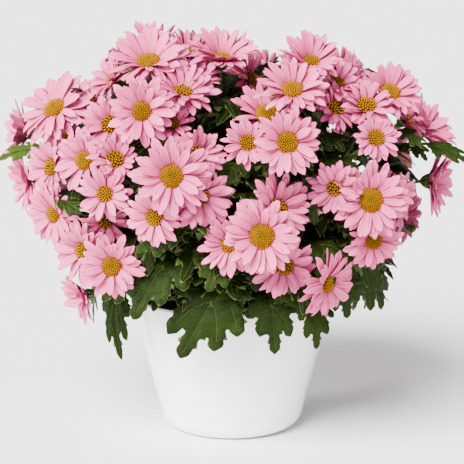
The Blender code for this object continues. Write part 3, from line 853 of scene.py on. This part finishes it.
def add_disc(head, rng):
    """A domed disc of florets on a golden-angle spiral: buds in the middle, open ones outside."""
    shell = Shell()
    dome = DISC_HEIGHT * head.disc
    wide = head.disc * DISC_SHARE
    curve = [(wide * math.cos(a), 0.8 + dome * math.sin(a)) for a in np.radians((25, 50, 72))]
    profile = [(0, 0.2), (wide, 0.2), (wide, 0.8), *curve, (0, 0.8 + dome)]
    # The dome holds along 0, so disc_paint gives it the full painted shade of the gaps.
    head.add_core(shell, profile, DISC_SEGMENTS, 0.0, 0.7, 0.0)
    spacing = FLORET_SPACING if head.fine else FLORET_SPACING * FAR_SPACING
    count = int(math.pi * head.disc**2 / spacing**2 * 1.12)
    sides = FLORET_SIDES if head.fine else FLORET_SIDES - 1
    faces = []
    for k in range(sides):
        n = (k + 1) % sides
        faces += [(k, n, sides + n, sides + k), (sides + k, sides + n, 2 * sides)]
    faces.append(tuple(range(sides))[::-1])
    spin = 2 * math.pi * rng.uniform()
    for number in range(count):
        share = math.sqrt((number + 0.5) / count)
        azimuth = number * GOLDEN_ANGLE + spin
        tilt = math.radians(FLORET_TILT) * share**1.5
        radial = np.array((math.cos(azimuth), math.sin(azimuth), 0.0))
        axis = radial * math.sin(tilt) + np.array((0, 0, math.cos(tilt)))
        foot = radial * head.disc * share * 0.95
        foot[2] = 0.5 + dome * math.sqrt(max(1 - share**2, 0.0))
        side = np.array((-math.sin(azimuth), math.cos(azimuth), 0.0))
        other = np.cross(axis, side)
        angles = 2 * math.pi * (np.arange(sides) + rng.uniform()) / sides
        ring = np.cos(angles)[:, None] * side + np.sin(angles)[:, None] * other
        is_open = share > 1 - 0.62 * head.openness and rng.uniform() < 0.85
        tall = spacing * (0.8 + 0.75 * share) * rng.uniform(0.85, 1.15)
        lip = spacing * (0.56 if is_open else 0.46)
        hollow = -0.5 if is_open else 0.3
        low = foot + ring * spacing * 0.3 - axis * 0.3
        high = foot + ring * lip + axis * tall
        crown = foot + axis * (tall + hollow * spacing)
        # along sets disc_paint's painted shade: 0 at a floret's foot, 0.35 in an open floret's hollow, 1 at
        # its top.
        along = [0.0] * sides + [1.0] * sides + [0.35 if is_open else 1.0]
        age = share if head.openness > 0.15 else share * 0.5
        shell.add(head.world([*low, *high, crown]), faces, along, age, rng.uniform())
    shell.build(head.name + "_disc", DISC, "disc")


def add_calyx(head, rng):
    """Green cup with two or three rows of overlapping bracts, behind the petals."""
    shell = Shell()
    wide = max(0.78 * head.disc, 3.6)
    profile = [(0, -0.2), (wide * 0.98, -0.2), (wide, -0.8), (wide * 0.9, -2.6), (wide * 0.66, -4.6)]
    profile += [(wide * 0.4, -6.0), (1.5, -CALYX_DEPTH), (0, -CALYX_DEPTH - 0.1)]
    head.add_core(shell, profile[::-1], CALYX_SEGMENTS, 0.35, 0.0, 0.5)
    rows, columns = (5, 3) if head.fine else (4, 3)
    t = np.linspace(0, 1, rows)
    v = np.linspace(-1, 1, columns)[None, :]
    for level, (number, low, high) in enumerate(CALYX_ROWS if head.fine else CALYX_ROWS[1:]):
        for k in range(number):
            angle = 2 * math.pi * (k + 0.5 * (level % 2) + rng.uniform(-0.1, 0.1)) / number
            height = low + (high - low) * t
            reach = np.interp(height, CALYX_HEIGHTS, np.array(CALYX_SHARES) * wide) + 0.25 + 0.12 * level
            centre = np.stack([reach, np.zeros(rows), height], axis=1)
            tangent = unit(np.gradient(centre, axis=0))
            side = np.tile((0.0, -1.0, 0.0), (rows, 1))
            width = (wide * 0.36 * np.sin(math.pi * (0.18 + 0.78 * t)) ** 0.8)[:, None]
            line = head.around(angle, centre, tangent, side)
            out, up, on = width * v, -0.12 * width * v**2, 0 * width * v
            add_blade(shell, *line, out, up, on, 0.35, t[:, None], v, rng.uniform())
    shell.build(head.name + "_calyx", CALYX, "stem")


# ---------------- stems and leaves


def nearest_cutting(spot):
    """The cutting whose hub is nearest, seen from above."""
    return min(
        CUTTINGS,
        key=lambda name: (ring_point(CUTTINGS[name], HUB_CIRCLE, spot[2]) - Vector(spot)).length,
    )


def tier_of(height):
    """Which branch of its cutting a stalk grows on, counted from below."""
    return sum(height >= limit for limit in TIERS)


def add_stem(shell, curve, kind, chance):
    """Adds a round stem along a curve, given by four points, and returns its line."""
    thick, thin, count, sides = kind
    line = bezier(*curve, count)
    add_tube(shell, line, np.linspace(thick, thin, count), sides, chance)
    return line


def grow_stems(heads, soil_top, rng):
    """Builds each cutting's stems and returns the line of every flower's stalk."""
    lines = []
    for name, azimuth in CUTTINGS.items():
        shell = Shell()
        root = np.array(ring_point(azimuth, CUTTING_CIRCLE, soil_top - ROOT_DEPTH))
        collar = np.array(ring_point(azimuth, CUTTING_CIRCLE, soil_top + 4))
        hub = np.array(ring_point(azimuth, HUB_CIRCLE, HUB_HEIGHT))
        add_stem(shell, (root, collar, collar, hub), MAIN_STEM, 0.0)
        own = [head for head in heads if nearest_cutting(head.seat()) == name]
        tiers = sorted({tier_of(head.seat()[2]) for head in own if head.node})
        for head in own:
            if tier_of(head.seat()[2]) not in tiers:
                tiers.append(tier_of(head.seat()[2]))
        for tier in tiers:
            group = [head for head in own if tier_of(head.seat()[2]) == tier]
            packed = [head.seat() for head in group if head.node] or [head.seat() for head in group]
            middle = np.mean(packed, axis=0)
            start = collar + (hub - collar) * min(0.55 + 0.2 * tiers.index(tier), 0.95)
            fork = start + (middle - start) * FORK_SHARE
            sag = (start + fork) / 2 - (0, 0, 3)
            curve = (start, start * 0.4 + sag * 0.6, sag * 0.6 + fork * 0.4, fork)
            branch = add_stem(shell, curve, BRANCH, 0.3)
            ahead = unit(fork - start)
            for head in group:
                first = branch[-3] if head.node else branch[rng.integers(4, 11)]
                seat = head.seat() + head.axis * 0.6
                reach = np.linalg.norm(seat - first) / 3
                sway = rng.normal(0, 2.5, 3)
                curve = (first, first + ahead * reach + sway, seat - head.axis * reach, seat)
                lines.append((name, head, add_stem(shell, curve, STALK, 0.6)))
        shell.build("grown_stems_" + name, STEM, "stem", ("stems_" + name,))
    return lines


def lobe_ring(start, angle, length, half, edge, steps, rng):
    """The toothed outline of one lobe, anticlockwise, and its vein, which turns forward."""
    s = np.linspace(0, 1, steps)
    forward = math.copysign(min(abs(angle), LOBE_TURN), angle)
    turn = np.radians(angle * (1 + rng.normal(0, 0.07)) - forward * s)
    length *= rng.uniform(0.88, 1.1)
    step = np.stack([np.cos(turn), np.sin(turn)], axis=1)
    run = (step[1:] + step[:-1]) / 2 * length / (steps - 1)
    vein = (start, 0) + np.concatenate([[(0, 0)], np.cumsum(run, axis=0)])
    at, wide = np.array(edge).T
    ring = []
    for hand in (-1, 1):
        place = at + rng.uniform(-0.04, 0.04) * (at < 0.8)
        spot, ahead = (
            np.stack([np.interp(place, s, column) for column in line.T], axis=1) for line in (vein, step)
        )
        aside = np.stack([-ahead[:, 1], ahead[:, 0]], axis=1) * hand * half
        ring.append(spot + aside * (wide * rng.uniform(0.9, 1.1, len(wide)))[:, None])
    tip = vein[-1] + step[-1] * half * 0.3
    return [*ring[0], tip, *ring[1][::-1]], vein[:-1]


def outer_loop(rim):
    """The corners of the longest loop of edges, in order."""
    after = dict(rim.tolist())
    loops = []
    while after:
        first, here = after.popitem()
        loop = [first]
        while here in after:
            loop.append(here)
            here = after.pop(here)
        loops.append(loop)
    return max(loops, key=len)


def rounded(loop):
    """A closed outline with each corner cut in two."""
    ahead = np.roll(loop, -1, axis=0)
    return np.stack([loop * 0.75 + ahead * 0.25, loop * 0.25 + ahead * 0.75], axis=1).reshape(-1, 2)


def flat_mesh(rings, veins, inner):
    """Triangles that fill a set of overlapping outlines, with edges along the veins."""
    points, edges, faces = [], [], []
    for ring in rings:
        faces.append(list(range(len(points), len(points) + len(ring))))
        points += list(ring)
    for vein in veins:
        edges += [(len(points) + i, len(points) + i + 1) for i in range(len(vein) - 1)]
        points += list(vein)
    points += list(inner)
    found = geometry.delaunay_2d_cdt([Vector(point) for point in points], edges, faces, 1, 1e-4)
    triangles = np.array(found[2])
    used, index = np.unique(triangles, return_inverse=True)
    return np.array([tuple(point) for point in found[0]])[used], index.reshape(triangles.shape)


def distance_to(points, starts, ends):
    """Distance from each point to the nearest of many straight pieces."""
    run = ends - starts
    t = ((points[:, None] - starts) * run).sum(-1) / np.maximum((run**2).sum(-1), 1e-12)
    near = starts + np.clip(t, 0, 1)[..., None] * run
    return np.linalg.norm(points[:, None] - near, axis=-1).min(axis=1)


class LeafShape:
    """A flat lobed leaf, in shares of its length: its triangles, its rim, and the distance of each
    point from the veins and from the rim."""

    def __init__(self, edge, steps, spacing, rng):
        lobes = []
        for start, angle, length, half in LEAF_LOBES:
            lobes += [lobe_ring(start, hand * angle, length, half, edge, steps, rng) for hand in (-1, 1)]
        lobes.append(lobe_ring(*LEAF_END, edge, steps, rng))
        length, least, greatest = LEAF_BODY
        t = np.linspace(0, 1, 12)
        width = rng.uniform(least, greatest) * np.maximum(np.sin(math.pi * t**0.8) ** 0.6, 0.12)
        body = np.stack([[*t * length, *t[::-1] * length], [*-width, *width[::-1]]], axis=1)
        rings = [body] + [ring for ring, _ in lobes]
        midrib = np.stack([np.linspace(0.01, 0.95, 2 * steps), np.zeros(2 * steps)], axis=1)
        veins = [midrib] + [vein for _, vein in lobes[:-1]]
        self.measure(*flat_mesh(rings, [], []), veins)
        rim = self.points[outer_loop(self.rim)]
        if edge is FINE_EDGE:
            rim = rounded(rim)
        x, y = np.meshgrid(np.arange(0, 1, spacing), np.arange(-0.45, 0.45, spacing * 0.87))
        x = x + spacing / 2 * (np.arange(len(x)) % 2)[:, None]
        inner = np.stack([x.ravel(), y.ravel()], axis=1)
        inner = inner[distance_to(inner, rim, np.roll(rim, -1, axis=0)) > spacing * 0.5]
        self.measure(*flat_mesh([rim], veins, inner), veins)

    def measure(self, points, faces, veins):
        a, b, c = (points[faces[:, k]] for k in range(3))
        turned = (b - a)[:, 0] * (c - a)[:, 1] < (b - a)[:, 1] * (c - a)[:, 0]
        faces[turned] = faces[turned][:, ::-1]
        sides = np.concatenate([faces[:, (0, 1)], faces[:, (1, 2)], faces[:, (2, 0)]])
        known = {tuple(side) for side in sides.tolist()}
        self.points, self.faces = points, faces
        self.rim = np.array([side for side in sides.tolist() if (side[1], side[0]) not in known])
        self.from_rim = distance_to(points, points[self.rim[:, 0]], points[self.rim[:, 1]])
        starts = np.concatenate([vein[:-1] for vein in veins])
        self.from_vein = distance_to(points, starts, np.concatenate([vein[1:] for vein in veins]))


def add_leaf(shell, shape, line, across, half, chance, stalk, rng, sides=6):
    """A leaf of one shape, bent along a line of points, with its width along the vector across."""
    t = np.linspace(0, 1, len(line))
    ahead = unit(np.gradient(line, axis=0))
    whole = np.linalg.norm(np.diff(line, axis=0), axis=1).sum()
    blade = whole * (1 - stalk)

    def along_line(values, at):
        return np.stack([np.interp(at, t, values[:, k]) for k in range(3)], axis=1)

    x, y = shape.points.T
    at = stalk + (1 - stalk) * x
    tangent = unit(along_line(ahead, at))
    side = unit(across - tangent * (tangent @ across)[:, None])
    normal = np.cross(tangent, side)
    out = y * half / LEAF_WIDE
    reach = np.abs(out) / half
    up = half * (0.16 * reach - 0.26 * reach**2.5 * rng.uniform(0.4, 1.6))
    up += 0.08 * half * np.sin(2 * math.pi * x * 1.5 + rng.uniform(0, 6)) * np.sign(y) * reach
    up += 0.05 * half * np.sin(9 * x + 7 * reach + rng.uniform(0, 6)) * reach
    deep, wide = LEAF_VALLEY
    up += deep * blade * (1 - np.exp(-shape.from_vein / wide)) - RIM_DROP * blade * (shape.from_rim < 1e-4)
    beyond = np.maximum(at - 1, 0) * whole
    middle = along_line(line, at) + tangent * beyond[:, None] + side * out[:, None] + normal * up[:, None]
    thin = min(1.0, half / THIN_LEAF)
    thick = normal * (LEAF_THICK * thin / 2)
    count = len(x)
    first, last = shape.rim.T
    walls = np.stack([last, first, first + count, last + count], axis=1)
    faces = shape.faces.tolist() + (shape.faces[:, ::-1] + count).tolist() + walls.tolist()
    under = [0.0] * len(shape.faces) + [1.0] * len(shape.faces) + [0.0] * len(walls)
    from_rim, from_vein = (np.tile(values * blade, 2) for values in (shape.from_rim, shape.from_vein))
    shell.add(np.concatenate([middle + thick, middle - thick]), faces, from_rim, from_vein, chance, under)
    rings = sides + 3
    at = np.linspace(0, stalk + (1 - stalk) * 0.7, rings)
    past = np.clip((at - stalk) / (1 - stalk), 0, 1)
    radii = np.interp(past, (0, 0.05, 0.7), (1.0, 0.7, 0.25)) * thin
    down = unit(np.cross(unit(along_line(ahead, at)), across))
    add_tube(shell, along_line(line, at) - down * (0.5 * radii)[:, None], radii, sides, chance, STALK_MARK)


def leaf_line(start, bend, tip, count=30):
    start, bend, tip = (np.array(spot, float) for spot in (start, bend, tip))
    return bezier(start, bend * 0.75 + start * 0.25, bend * 0.75 + tip * 0.25, tip, count)


def add_leaf_piece(name, shape, row, light, stalk, rng, nodes=()):
    """Makes a piece of the leaf in one row of a table."""
    start, bend, tip, facing, half, _ = row
    shell = Shell()
    across = np.array(direction(facing + 90))
    add_leaf(shell, shape, leaf_line(start, bend, tip), across, half, light, stalk, rng)
    shell.build(name, LEAF, "leaf", nodes)


def add_named_leaves(shapes, rng):
    """The leaves over the pot's edge and those just under the flowers, one piece each."""
    for number, row in enumerate((*RIM_LEAVES, *MORE_LEAVES), start=1):
        name = f"leaf_{number:02d}"
        nodes = (name,) if number <= len(RIM_LEAVES) else ()
        light = row[-1] + rng.uniform(-0.08, 0.08)
        add_leaf_piece(name + "_blade", shapes[number % len(shapes)], row, light, RIM_STALK, rng, nodes)
    for number, row in enumerate(TOP_LEAVES, start=1):
        name = f"upper_leaf_{number:02d}"
        add_leaf_piece(name, shapes[number % len(shapes)], row, row[-1], UPPER_STALK, rng)


def dome_radius(height):
    """Distance of the flower discs from the pot's axis at a height."""
    reach = DOME_TOP - DOME_WIDEST if height > DOME_WIDEST else DOME_WIDEST - DOME_BOTTOM
    share = min(abs(height - DOME_WIDEST) / reach, 1.0)
    return DOME_RADIUS * (1 - share**DOME_POWER) ** (1 / DOME_POWER)


def hides_flower(leaf, heads):
    """Whether a leaf's line passes in front of a flower's face."""
    blade = leaf[len(leaf) // 3:]
    for head in heads:
        away = blade - head.spot
        ahead = away @ head.axis
        aside = np.linalg.norm(away - ahead[:, None] * head.axis, axis=1)
        if ((ahead > 0) & (ahead < HIDING_REACH) & (aside < HIDING_SHARE * head.radius)).any():
            return True
    return False


def add_fill_leaves(shells, lines, shapes, rng):
    """Leaves between the flowers and the stems, each on the stalk that is nearest to its blade."""
    heads = [head for _, head, _ in lines]
    for name, azimuth in CUTTINGS.items():
        grown = np.concatenate([line[2:-3] for cutting, _, line in lines if cutting == name])
        low, high = FILL_HEIGHTS
        for number in range(FILL_LEAVES):
            turn = azimuth + rng.uniform(-FILL_SPREAD, FILL_SPREAD)
            height = low + (high - low) * (number + rng.uniform()) / FILL_LEAVES
            inside = number % CORE_SHARE == 0
            reach = rng.uniform(*(CORE_REACH if inside else FILL_REACH))
            middle = np.array(ring_point(turn, dome_radius(height) * reach, height))
            turn += rng.uniform(-FILL_TURN, FILL_TURN)
            out = np.array(direction(turn))
            blade = rng.uniform(*FILL_BLADE)
            fall = blade * rng.uniform(*FILL_FALL)
            foot = middle - out * blade * 0.42 + (0, 0, fall)
            tip = middle + out * blade * 0.42 - (0, 0, fall)
            start = grown[np.argmin(np.linalg.norm(grown - foot + (0, 0, 12), axis=1))]
            length = np.linalg.norm(foot - start) + blade
            stalk = min(max(1 - blade / length, 0.12), 0.6)
            across = np.array(direction(turn + 90, rng.uniform(-FILL_ROLL, FILL_ROLL)))
            leaf = leaf_line(start, foot + (0, 0, blade * 0.12), tip, INNER_POINTS)
            if hides_flower(leaf, heads) or math.hypot(tip[0], tip[1]) > dome_radius(tip[2]):
                continue
            shape = shapes[number % len(shapes)]
            light = rng.uniform(0.0, 0.12)
            add_leaf(shells[name], shape, leaf, across, blade * 0.37, light, stalk, rng, INNER_SIDES)


def add_stalk_leaves(lines, shapes, rng):
    """The leaves inside the plant, one piece for each cutting: those that fill it, those that hang
    along the flower stalks and those round its foot."""
    heads = [head for _, head, _ in lines]
    shells = {name: Shell() for name in CUTTINGS}
    add_fill_leaves(shells, lines, shapes, rng)
    for name, head, line in lines:
        for share, size in STALK_LEAVES:
            at = int(share * (len(line) - 1))
            spot = line[at]
            x, y, _ = unit(spot * (1, 1, 0))
            turn = math.radians(rng.uniform(-STALK_TURN, STALK_TURN))
            c, s = math.cos(turn), math.sin(turn)
            out = np.array((x * c - y * s, x * s + y * c, 0.0))
            length = size * rng.uniform(*STALK_SIZES)
            droop = rng.uniform(*STALK_DROOP)
            bend = spot + out * length * 0.5 + (0, 0, length * 0.3)
            tip = spot + out * length * (1.05 - 0.5 * droop) - (0, 0, length * droop * 0.8)
            across = np.cross((0, 0, 1.0), out)
            leaf = leaf_line(spot, bend, tip, INNER_POINTS)
            if tip[2] < STALK_LEAF_LOW or hides_flower(leaf, heads):
                continue
            shape = shapes[rng.integers(len(shapes))]
            light = rng.uniform(0.0, 0.25)
            add_leaf(shells[name], shape, leaf, across, length * 0.34, light, BRANCH_STALK, rng, INNER_SIDES)
    for name, azimuth in CUTTINGS.items():
        for _ in range(FOOT_LEAVES):
            turn = azimuth + rng.uniform(-FOOT_SPREAD, FOOT_SPREAD)
            height = rng.uniform(*FOOT_HEIGHTS)
            start = ring_point(azimuth, HUB_CIRCLE, height)
            bend = ring_point(turn, rng.uniform(*FOOT_BENDS), height + 20)
            tip = ring_point(turn, rng.uniform(*FOOT_TIPS), max(height - rng.uniform(0, 30), FOOT_LOW))
            leaf = leaf_line(start, bend, tip, INNER_POINTS)
            across = np.array(direction(turn + 90))
            shape = shapes[rng.integers(len(shapes))]
            half = FOOT_HALF * rng.uniform(0.8, 1.1)
            light = rng.uniform(0.0, 0.2)
            add_leaf(shells[name], shape, leaf, across, half, light, FOOT_STALK, rng, INNER_SIDES)
    for name, shell in shells.items():
        # These leaves take the inner_leaf material, whose darker green is painted shade.
        shell.build("foliage_" + name, INNER_LEAF, "leaf")


# ---------------- pots and soil


def arc(centre, radius, start, end, count):
    angles = np.radians(np.linspace(start, end, count))
    return [(centre[0] + radius * math.cos(a), centre[1] + radius * math.sin(a)) for a in angles]


def pot_wall(inset, height):
    """Radius of the cover pot's leaning wall, at a depth inset under its outer face."""
    lean = math.radians(POT_TAPER)
    foot = POT_FOOT + (POT_CORNER - inset) * math.cos(lean)
    start = POT_CORNER - (POT_CORNER - inset) * math.sin(lean)
    return foot + math.tan(lean) * (height - start)


def add_cover_pot():
    corner = (POT_FOOT, POT_CORNER)
    lip = POT_WALL / 2
    top = POT_HEIGHT - lip
    inside = arc(corner, POT_CORNER - POT_WALL, -90, -POT_TAPER, 10)
    wall = [(pot_wall(POT_WALL, h), h) for h in np.linspace(20, 88, 8)]
    edge = arc((pot_wall(lip, top), top), lip, 180 - POT_TAPER, -POT_TAPER, 13)
    outer = [(pot_wall(0, h), h) for h in np.linspace(88, 14, 10)]
    outside = arc(corner, POT_CORNER, -POT_TAPER, -90, 14)
    shell = Shell()
    add_turned(shell, [(0, POT_WALL), *inside, *wall, *edge, *outer, *outside, (0, 0)][::-1], POT_SEGMENTS)
    shell.build("cover_pot_glazed", GLAZE, "glaze", ("cover_pot",))


def add_soil(rng):
    """The soil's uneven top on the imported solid's outline, with loose crumbs and grit."""
    low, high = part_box("potting_soil")
    floor, level = low.z / MM, high.z / MM - SOIL_CROWN
    edge = high.x / MM
    foot = edge - SOIL_LEAN
    shell = Shell()
    rings, segments = SOIL_RINGS, SOIL_SEGMENTS
    angles = circle(segments)
    points = [(0.0, 0.0, level + SOIL_CROWN)]
    for ring in range(1, rings + 1):
        reach = edge * ring / rings
        for angle in angles:
            x, y = reach * math.cos(angle), reach * math.sin(angle)
            lump = noise.noise(Vector((x, y, 3.1)) * 0.12) * 1.6
            lump += noise.noise(Vector((x, y, 7.7)) * 0.45) * 0.8
            crown = 1.6 * (1 - (reach / edge) ** 2)
            points.append((x, y, level + crown + lump * (1 - (ring / rings) ** 8)))
    points += [(foot * math.cos(a), foot * math.sin(a), floor) for a in angles]
    points.append((0.0, 0.0, floor))
    faces = []
    for k in range(segments):
        n = (k + 1) % segments
        faces.append((0, 1 + k, 1 + n))
        for ring in range(rings):
            a, b = 1 + ring * segments, 1 + (ring + 1) * segments
            faces.append((a + k, b + k, b + n, a + n))
        last = 1 + rings * segments
        faces.append((last + k, last + segments, last + n))
    shell.add(points, faces, 0.0, 0.0, 0.4)
    for _ in range(CRUMBS):
        azimuth, reach = rng.uniform(0, 2 * math.pi), (edge - 3) * math.sqrt(rng.uniform())
        size = rng.uniform(*CRUMB_SIZES)
        height = level + 1.2 * (1 - reach / edge) + 0.6
        spot = np.array((reach * math.cos(azimuth), reach * math.sin(azimuth), height))
        add_crumb(shell, spot, size, rng)
    shell.build("potting_soil_crumbs", SOIL, "soil", ("potting_soil",))


def add_crumb(shell, spot, size, rng):
    """A small uneven lump with eight corners."""
    corners = np.array([(x, y, z) for x in (-1, 1) for y in (-1, 1) for z in (-1, 1)], float)
    corners = corners * rng.uniform(0.35, 0.75, (8, 3)) * size
    faces = ((0, 1, 3, 2), (4, 6, 7, 5), (0, 4, 5, 1), (2, 3, 7, 6), (0, 2, 6, 4), (1, 5, 7, 3))
    shell.add(corners + spot, faces, 0.0, 0.0, rng.uniform())


def dress_grow_pot():
    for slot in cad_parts["grow_pot"].material_slots:
        slot.material = PLASTIC


# ---------------- studio


def look_at(obj, target):
    aim = Vector(target) * MM - obj.location
    obj.rotation_euler = aim.to_track_quat("-Z", "Y").to_euler()


def add_camera():
    data = bpy.data.cameras.new("camera")
    data.sensor_width = 36.0
    data.angle = math.radians(CAMERA_VIEW)
    data.clip_end = 20.0
    camera = new_object("camera", data)
    camera.location = Vector(CAMERA_PLACE) * MM
    look_at(camera, CAMERA_TARGET)
    bpy.context.scene.camera = camera


def add_light(name, place, power, soft):
    """A soft light, as even over the floor as over the plant."""
    data = bpy.data.lights.new(name, "SUN")
    data.energy = power
    data.angle = math.radians(soft)
    light = new_object(name, data)
    light.location = Vector(place) * MM
    look_at(light, LIGHT_TARGET)


def add_studio():
    mesh = bpy.data.meshes.new("floor")
    corners = [(x * FLOOR_HALF, y * FLOOR_HALF, 0) for x, y in ((-1, -1), (1, -1), (1, 1), (-1, 1))]
    mesh.from_pydata(corners, [], [(0, 1, 2, 3)])
    mesh.materials.append(floor_paint())
    floor = new_object("floor", mesh)
    floor.location.z = -FLOOR_DROP
    world = bpy.data.worlds.new("studio")
    world.use_nodes = True
    tree = world.node_tree
    height = tree.nodes.new("ShaderNodeSeparateXYZ")
    tree.links.new(tree.nodes.new("ShaderNodeTexCoord").outputs["Generated"], height.inputs[0])
    strength = tree.nodes.new("ShaderNodeMapRange")
    for key, value in {1: 0.0, 2: WALL_TOP, 3: WALL_GLOW, 4: CEILING_GLOW}.items():
        strength.inputs[key].default_value = value
    tree.links.new(height.outputs["Z"], strength.inputs[0])
    tree.links.new(strength.outputs[0], tree.nodes["Background"].inputs["Strength"])
    tree.nodes["Background"].inputs["Color"].default_value = (1, 1, 1, 1)
    bpy.context.scene.world = world
    for name, light in LIGHTS.items():
        add_light(name, *light)


# ---------------- build

PETAL = petal_paint()
DISC = disc_paint()
STEM = green_paint("stem_green", (0.012, 0.028, 0.006), (0.03, 0.055, 0.012), (0.05, 0.08, 0.02), 0.55)
CALYX = green_paint("calyx_green", (0.025, 0.05, 0.01), (0.06, 0.1, 0.02), (0.09, 0.13, 0.035), 0.6)
LEAF = leaf_paint("leaf", 1.0)
INNER_LEAF = leaf_paint("inner_leaf", INNER_PAINTED_SHADE)
SOIL = soil_paint()
GLAZE = glaze_paint()
PLASTIC = plastic_paint()


def main():
    rng = np.random.default_rng(SEED)
    add_camera()
    add_studio()
    add_cover_pot()
    dress_grow_pot()
    add_soil(rng)
    names = sorted(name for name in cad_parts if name.startswith("flower_"))
    heads = [packed_head(name) for name in names] + list(second_heads())
    for head in heads:
        add_petals(head, rng)
        add_disc(head, rng)
        add_calyx(head, rng)
    lines = grow_stems(heads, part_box("potting_soil")[1].z / MM - SOIL_CROWN, rng)
    rng = np.random.default_rng(LEAF_SEED)
    add_named_leaves([LeafShape(*FINE_SHAPE, rng) for _ in range(SHAPES)], rng)
    add_stalk_leaves(lines, [LeafShape(*PLAIN_SHAPE, rng) for _ in range(SHAPES)], rng)


main()
